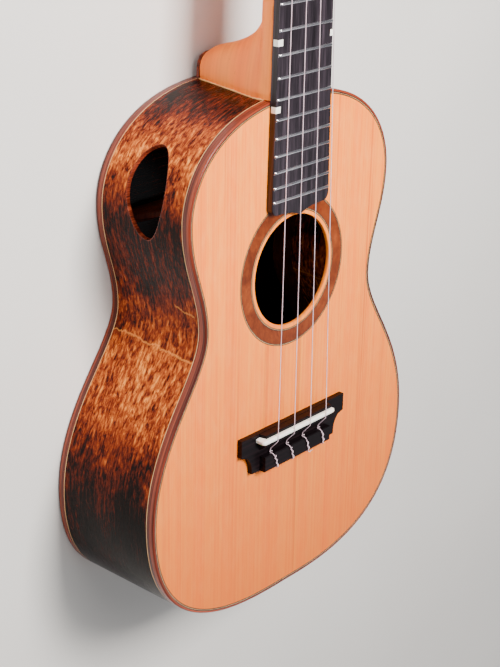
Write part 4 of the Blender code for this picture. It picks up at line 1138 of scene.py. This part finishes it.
for side, tag in ((-1, "bass"), (1, "treble")):
    plate = NODES[f"tuner_plate_{tag}"]
    bv = plate.modifiers.new("edge", "BEVEL")
    bv.width, bv.segments, bv.limit_method, bv.angle_limit = 0.0002, 2, "ANGLE", math.radians(50)
    for k, u in enumerate(POST_U):
        i = k + 1
        uw = u - CENTRES
        pb, kb = f"post_{tag}_{i}", f"knob_{tag}_{i}"
        P = HEAD @ Matrix.Translation((side * POST_X, u, PLANE_W))
        top = -PLANE_W + POST_H
        r = POST_R
        lathe(f"post_{tag}_{i}_turned", [(r - 0.9, top), (r - 0.45, top - 0.12), (r - 0.1, top - 0.5), (r, top - 0.9), (r, top - 1.9), (r - 0.2, top - 2.3),
                                         (r - 0.35, top - 2.8), (r - 0.35, -PLANE_W + 1.6), (r - 0.1, -PLANE_W + 1.1), (r, -PLANE_W + 0.9), (r, 0.9)], 40,
              M["steel"], P, pb)
        # toothed wheel
        ring = []
        step = 2 * math.pi / TEETH
        for t in range(TEETH):
            c = step * t
            for f, rr in ((-0.40, GEAR_ROOT), (-0.30, GEAR_ROOT + 0.1), (-0.20, GEAR_R), (-0.13, GEAR_TIP - 0.1), (-0.08, GEAR_TIP), (0.08, GEAR_TIP), (0.13, GEAR_TIP - 0.1),
                          (0.20, GEAR_R), (0.30, GEAR_ROOT + 0.1), (0.40, GEAR_ROOT)):
                ring.append((rr * math.cos(c + f * step), rr * math.sin(c + f * step)))
        n = len(ring)
        verts = []
        for sc, z in ((0.985, GEAR_W / 2), (1.0, GEAR_W / 2 - 0.12), (1.0, -GEAR_W / 2 + 0.12), (0.985, -GEAR_W / 2)):
            verts += [(x * sc, y * sc, z) for x, y in ring]
        faces = [(j * n + q, j * n + (q + 1) % n, (j + 1) * n + (q + 1) % n, (j + 1) * n + q) for j in range(3) for q in range(n)]
        faces += [tuple(range(n)), tuple(range(4 * n - 1, 3 * n - 1, -1))]
        finish_mesh(f"wheel_{tag}_{i}", mesh_from("w", verts, faces), M["brass"], 30, world=ROOT @ P @ Matrix.Rotation(-math.pi / 2, 4, "Z"), body=pb,
                    replaces=(f"tuner_post_{tag}_{i}",))
        # screw head that holds the wheel on its post
        scr = lathe(f"wheel_screw_{tag}_{i}", [(1.9, -1.0), (1.9, -1.25), (1.7, -1.45), (1.2, -1.62), (0.5, -1.7)], 28, M["steel"], P, pb)
        # worm, spindle and knob
        W = HEAD @ Matrix.Translation((side * POST_X, uw, PLANE_W)) @ Matrix.Rotation(0 if side > 0 else math.pi, 4, "Z") @ Matrix.Rotation(math.pi if side > 0 else 0, 4, "X")
        nn, turns = 40, 3
        half = turns * nn // 2
        rows = []
        for q in range(-half, half + 1):
            a = 2 * math.pi * q / nn
            x = PITCH * q / nn
            kk = min(1.0, (half - abs(q)) / 10.0)
            tip = WORM_ROOT - 0.1 + (WORM_TIP - WORM_ROOT + 0.1) * kk
            rows.append([(x + f * PITCH, rr * math.cos(a), rr * math.sin(a)) for f, rr in
                         ((-0.36, WORM_ROOT - 0.3), (-0.12, tip - 0.05), (-0.07, tip), (0.07, tip), (0.12, tip - 0.05), (0.36, WORM_ROOT - 0.3))])
        verts = [v for rw in rows for v in rw]
        m = 6
        faces = [(j * m + q, j * m + (q + 1) % m, (j + 1) * m + (q + 1) % m, (j + 1) * m + q) for j in range(len(rows) - 1) for q in range(m)]
        faces += [tuple(range(m)), tuple(range(len(verts) - 1, len(verts) - m - 1, -1))]
        finish_mesh(f"worm_{tag}_{i}", mesh_from("wm", verts, faces), M["steel"], 40, world=ROOT @ W, body=kb, replaces=(f"tuner_knob_{tag}_{i}",))
        lathe(f"worm_spindle_{tag}_{i}", [(0.9, -EAR - 1.6), (1.15, -EAR - 1.35), (1.15, -EAR + 1.1), (1.35, -EAR + 1.2), (1.35, EAR - 1.2), (1.15, EAR - 1.1),
                                          (1.15, KNOB_X - 1.2), (1.7, KNOB_X - 1.0), (1.9, KNOB_X - 0.4), (1.9, KNOB_X + 0.6), (1.0, KNOB_X + 1.2)], 28, M["steel"], W, kb, axis="X")
        rows = []
        for x, ry, rz in smooth_table([(0, 2.1, 2.0), (1.4, 2.4, 2.2), (3.0, 5.9, 3.0), (5.5, 7.9, 3.55), (9.0, 8.3, 3.7), (12.0, 7.4, 3.2), (13.4, 5.6, 2.4), (14.0, 3.6, 1.4)], 5):
            rows.append([(KNOB_X + x, ry * spow(math.cos(2 * math.pi * q / 48), 0.85), rz * spow(math.sin(2 * math.pi * q / 48), 0.9)) for q in range(48)])
        verts = [v for rw in rows for v in rw]
        m = 48
        faces = [(j * m + q, j * m + (q + 1) % m, (j + 1) * m + (q + 1) % m, (j + 1) * m + q) for j in range(len(rows) - 1) for q in range(m)]
        faces += [tuple(range(m)), tuple(range(len(verts) - 1, len(verts) - m - 1, -1))]
        finish_mesh(f"knob_{tag}_{i}_button", mesh_from("kb", verts, faces), M["pearl"], 60, world=ROOT @ W, body=kb)
        # chromed collar round the post on the head's face
        lathe(f"post_collar_{tag}_{i}", [(3.25, 0.0), (5.0, 0.0), (5.0, 0.5), (4.6, 0.95), (3.9, 1.2), (3.25, 1.2)], 40, M["steel"],
              HEAD @ Matrix.Translation((side * POST_X, u, 0.0)), "instrument")

# --------------------------------------------------------- camera and stage --
R0 = Vector((0.6621, 0.0175, 0.7492))
R1 = Vector((-0.2727, -0.9256, 0.2626))
R2 = Vector((0.698, -0.3782, -0.6081))
cam = bpy.data.cameras.new("camera")
cam.sensor_width = 36.0
cam.lens = 1497.97 / 667 * 36
cam.clip_start, cam.clip_end = 0.02, 20
co = bpy.data.objects.new("camera", cam)
COL.objects.link(co)
rot = Matrix((R0, -R1, -R2)).transposed().to_4x4()
pos = Vector((-615.1, 376.7, 504.7))
RR = Matrix.Rotation(PHI, 4, "X")
co.matrix_world = Matrix.Translation(ROOT @ pos) @ RR @ rot
bpy.context.scene.camera = co

bm = bmesh.new()
bmesh.ops.create_grid(bm, x_segments=24, y_segments=24, size=3.0)
fm = bpy.data.meshes.new("floor")
bm.to_mesh(fm)
bm.free()
fm.materials.append(m_floor())
floor = bpy.data.objects.new("floor", fm)
floor.location.z = -0.0002
COL.objects.link(floor)
floor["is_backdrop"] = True

world = bpy.data.worlds.new("studio")
world.use_nodes = True
world.node_tree.nodes["Background"].inputs["Color"].default_value = (0.90, 0.93, 1.0, 1)
world.node_tree.nodes["Background"].inputs["Strength"].default_value = 0.22
bpy.context.scene.world = world


def area(name, loc, aim, size, power, color=(1, 1, 1)):
    l = bpy.data.lights.new(name, "AREA")
    l.shape = "RECTANGLE"
    l.size, l.size_y = size
    l.energy = power
    l.color = color
    o = bpy.data.objects.new(name, l)
    COL.objects.link(o)
    o.location = loc
    o.rotation_euler = (Vector(aim) - Vector(loc)).to_track_quat("-Z", "Y").to_euler()
    return o


area("key", ROOT @ Vector((0, 480, 720)), ROOT @ Vector((0, 110, 0)), (0.3, 0.3), 18, (1.0, 0.96, 0.92))
area("key_soft", ROOT @ Vector((-160, 480, 760)), ROOT @ Vector((0, 130, 0)), (0.5, 0.5), 4, (1.0, 0.97, 0.94))
area("fill", ROOT @ Vector((-1500, 500, 700)), ROOT @ Vector((-60, 60, -30)), (1.2, 0.8), 9, (1.0, 0.97, 0.95))
area("rim", ROOT @ Vector((900, -900, 900)), ROOT @ Vector((0, 60, 0)), (1.2, 1.2), 4, (0.95, 0.97, 1.0))

VIS_BOX = [list(map(float, c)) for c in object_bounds()]
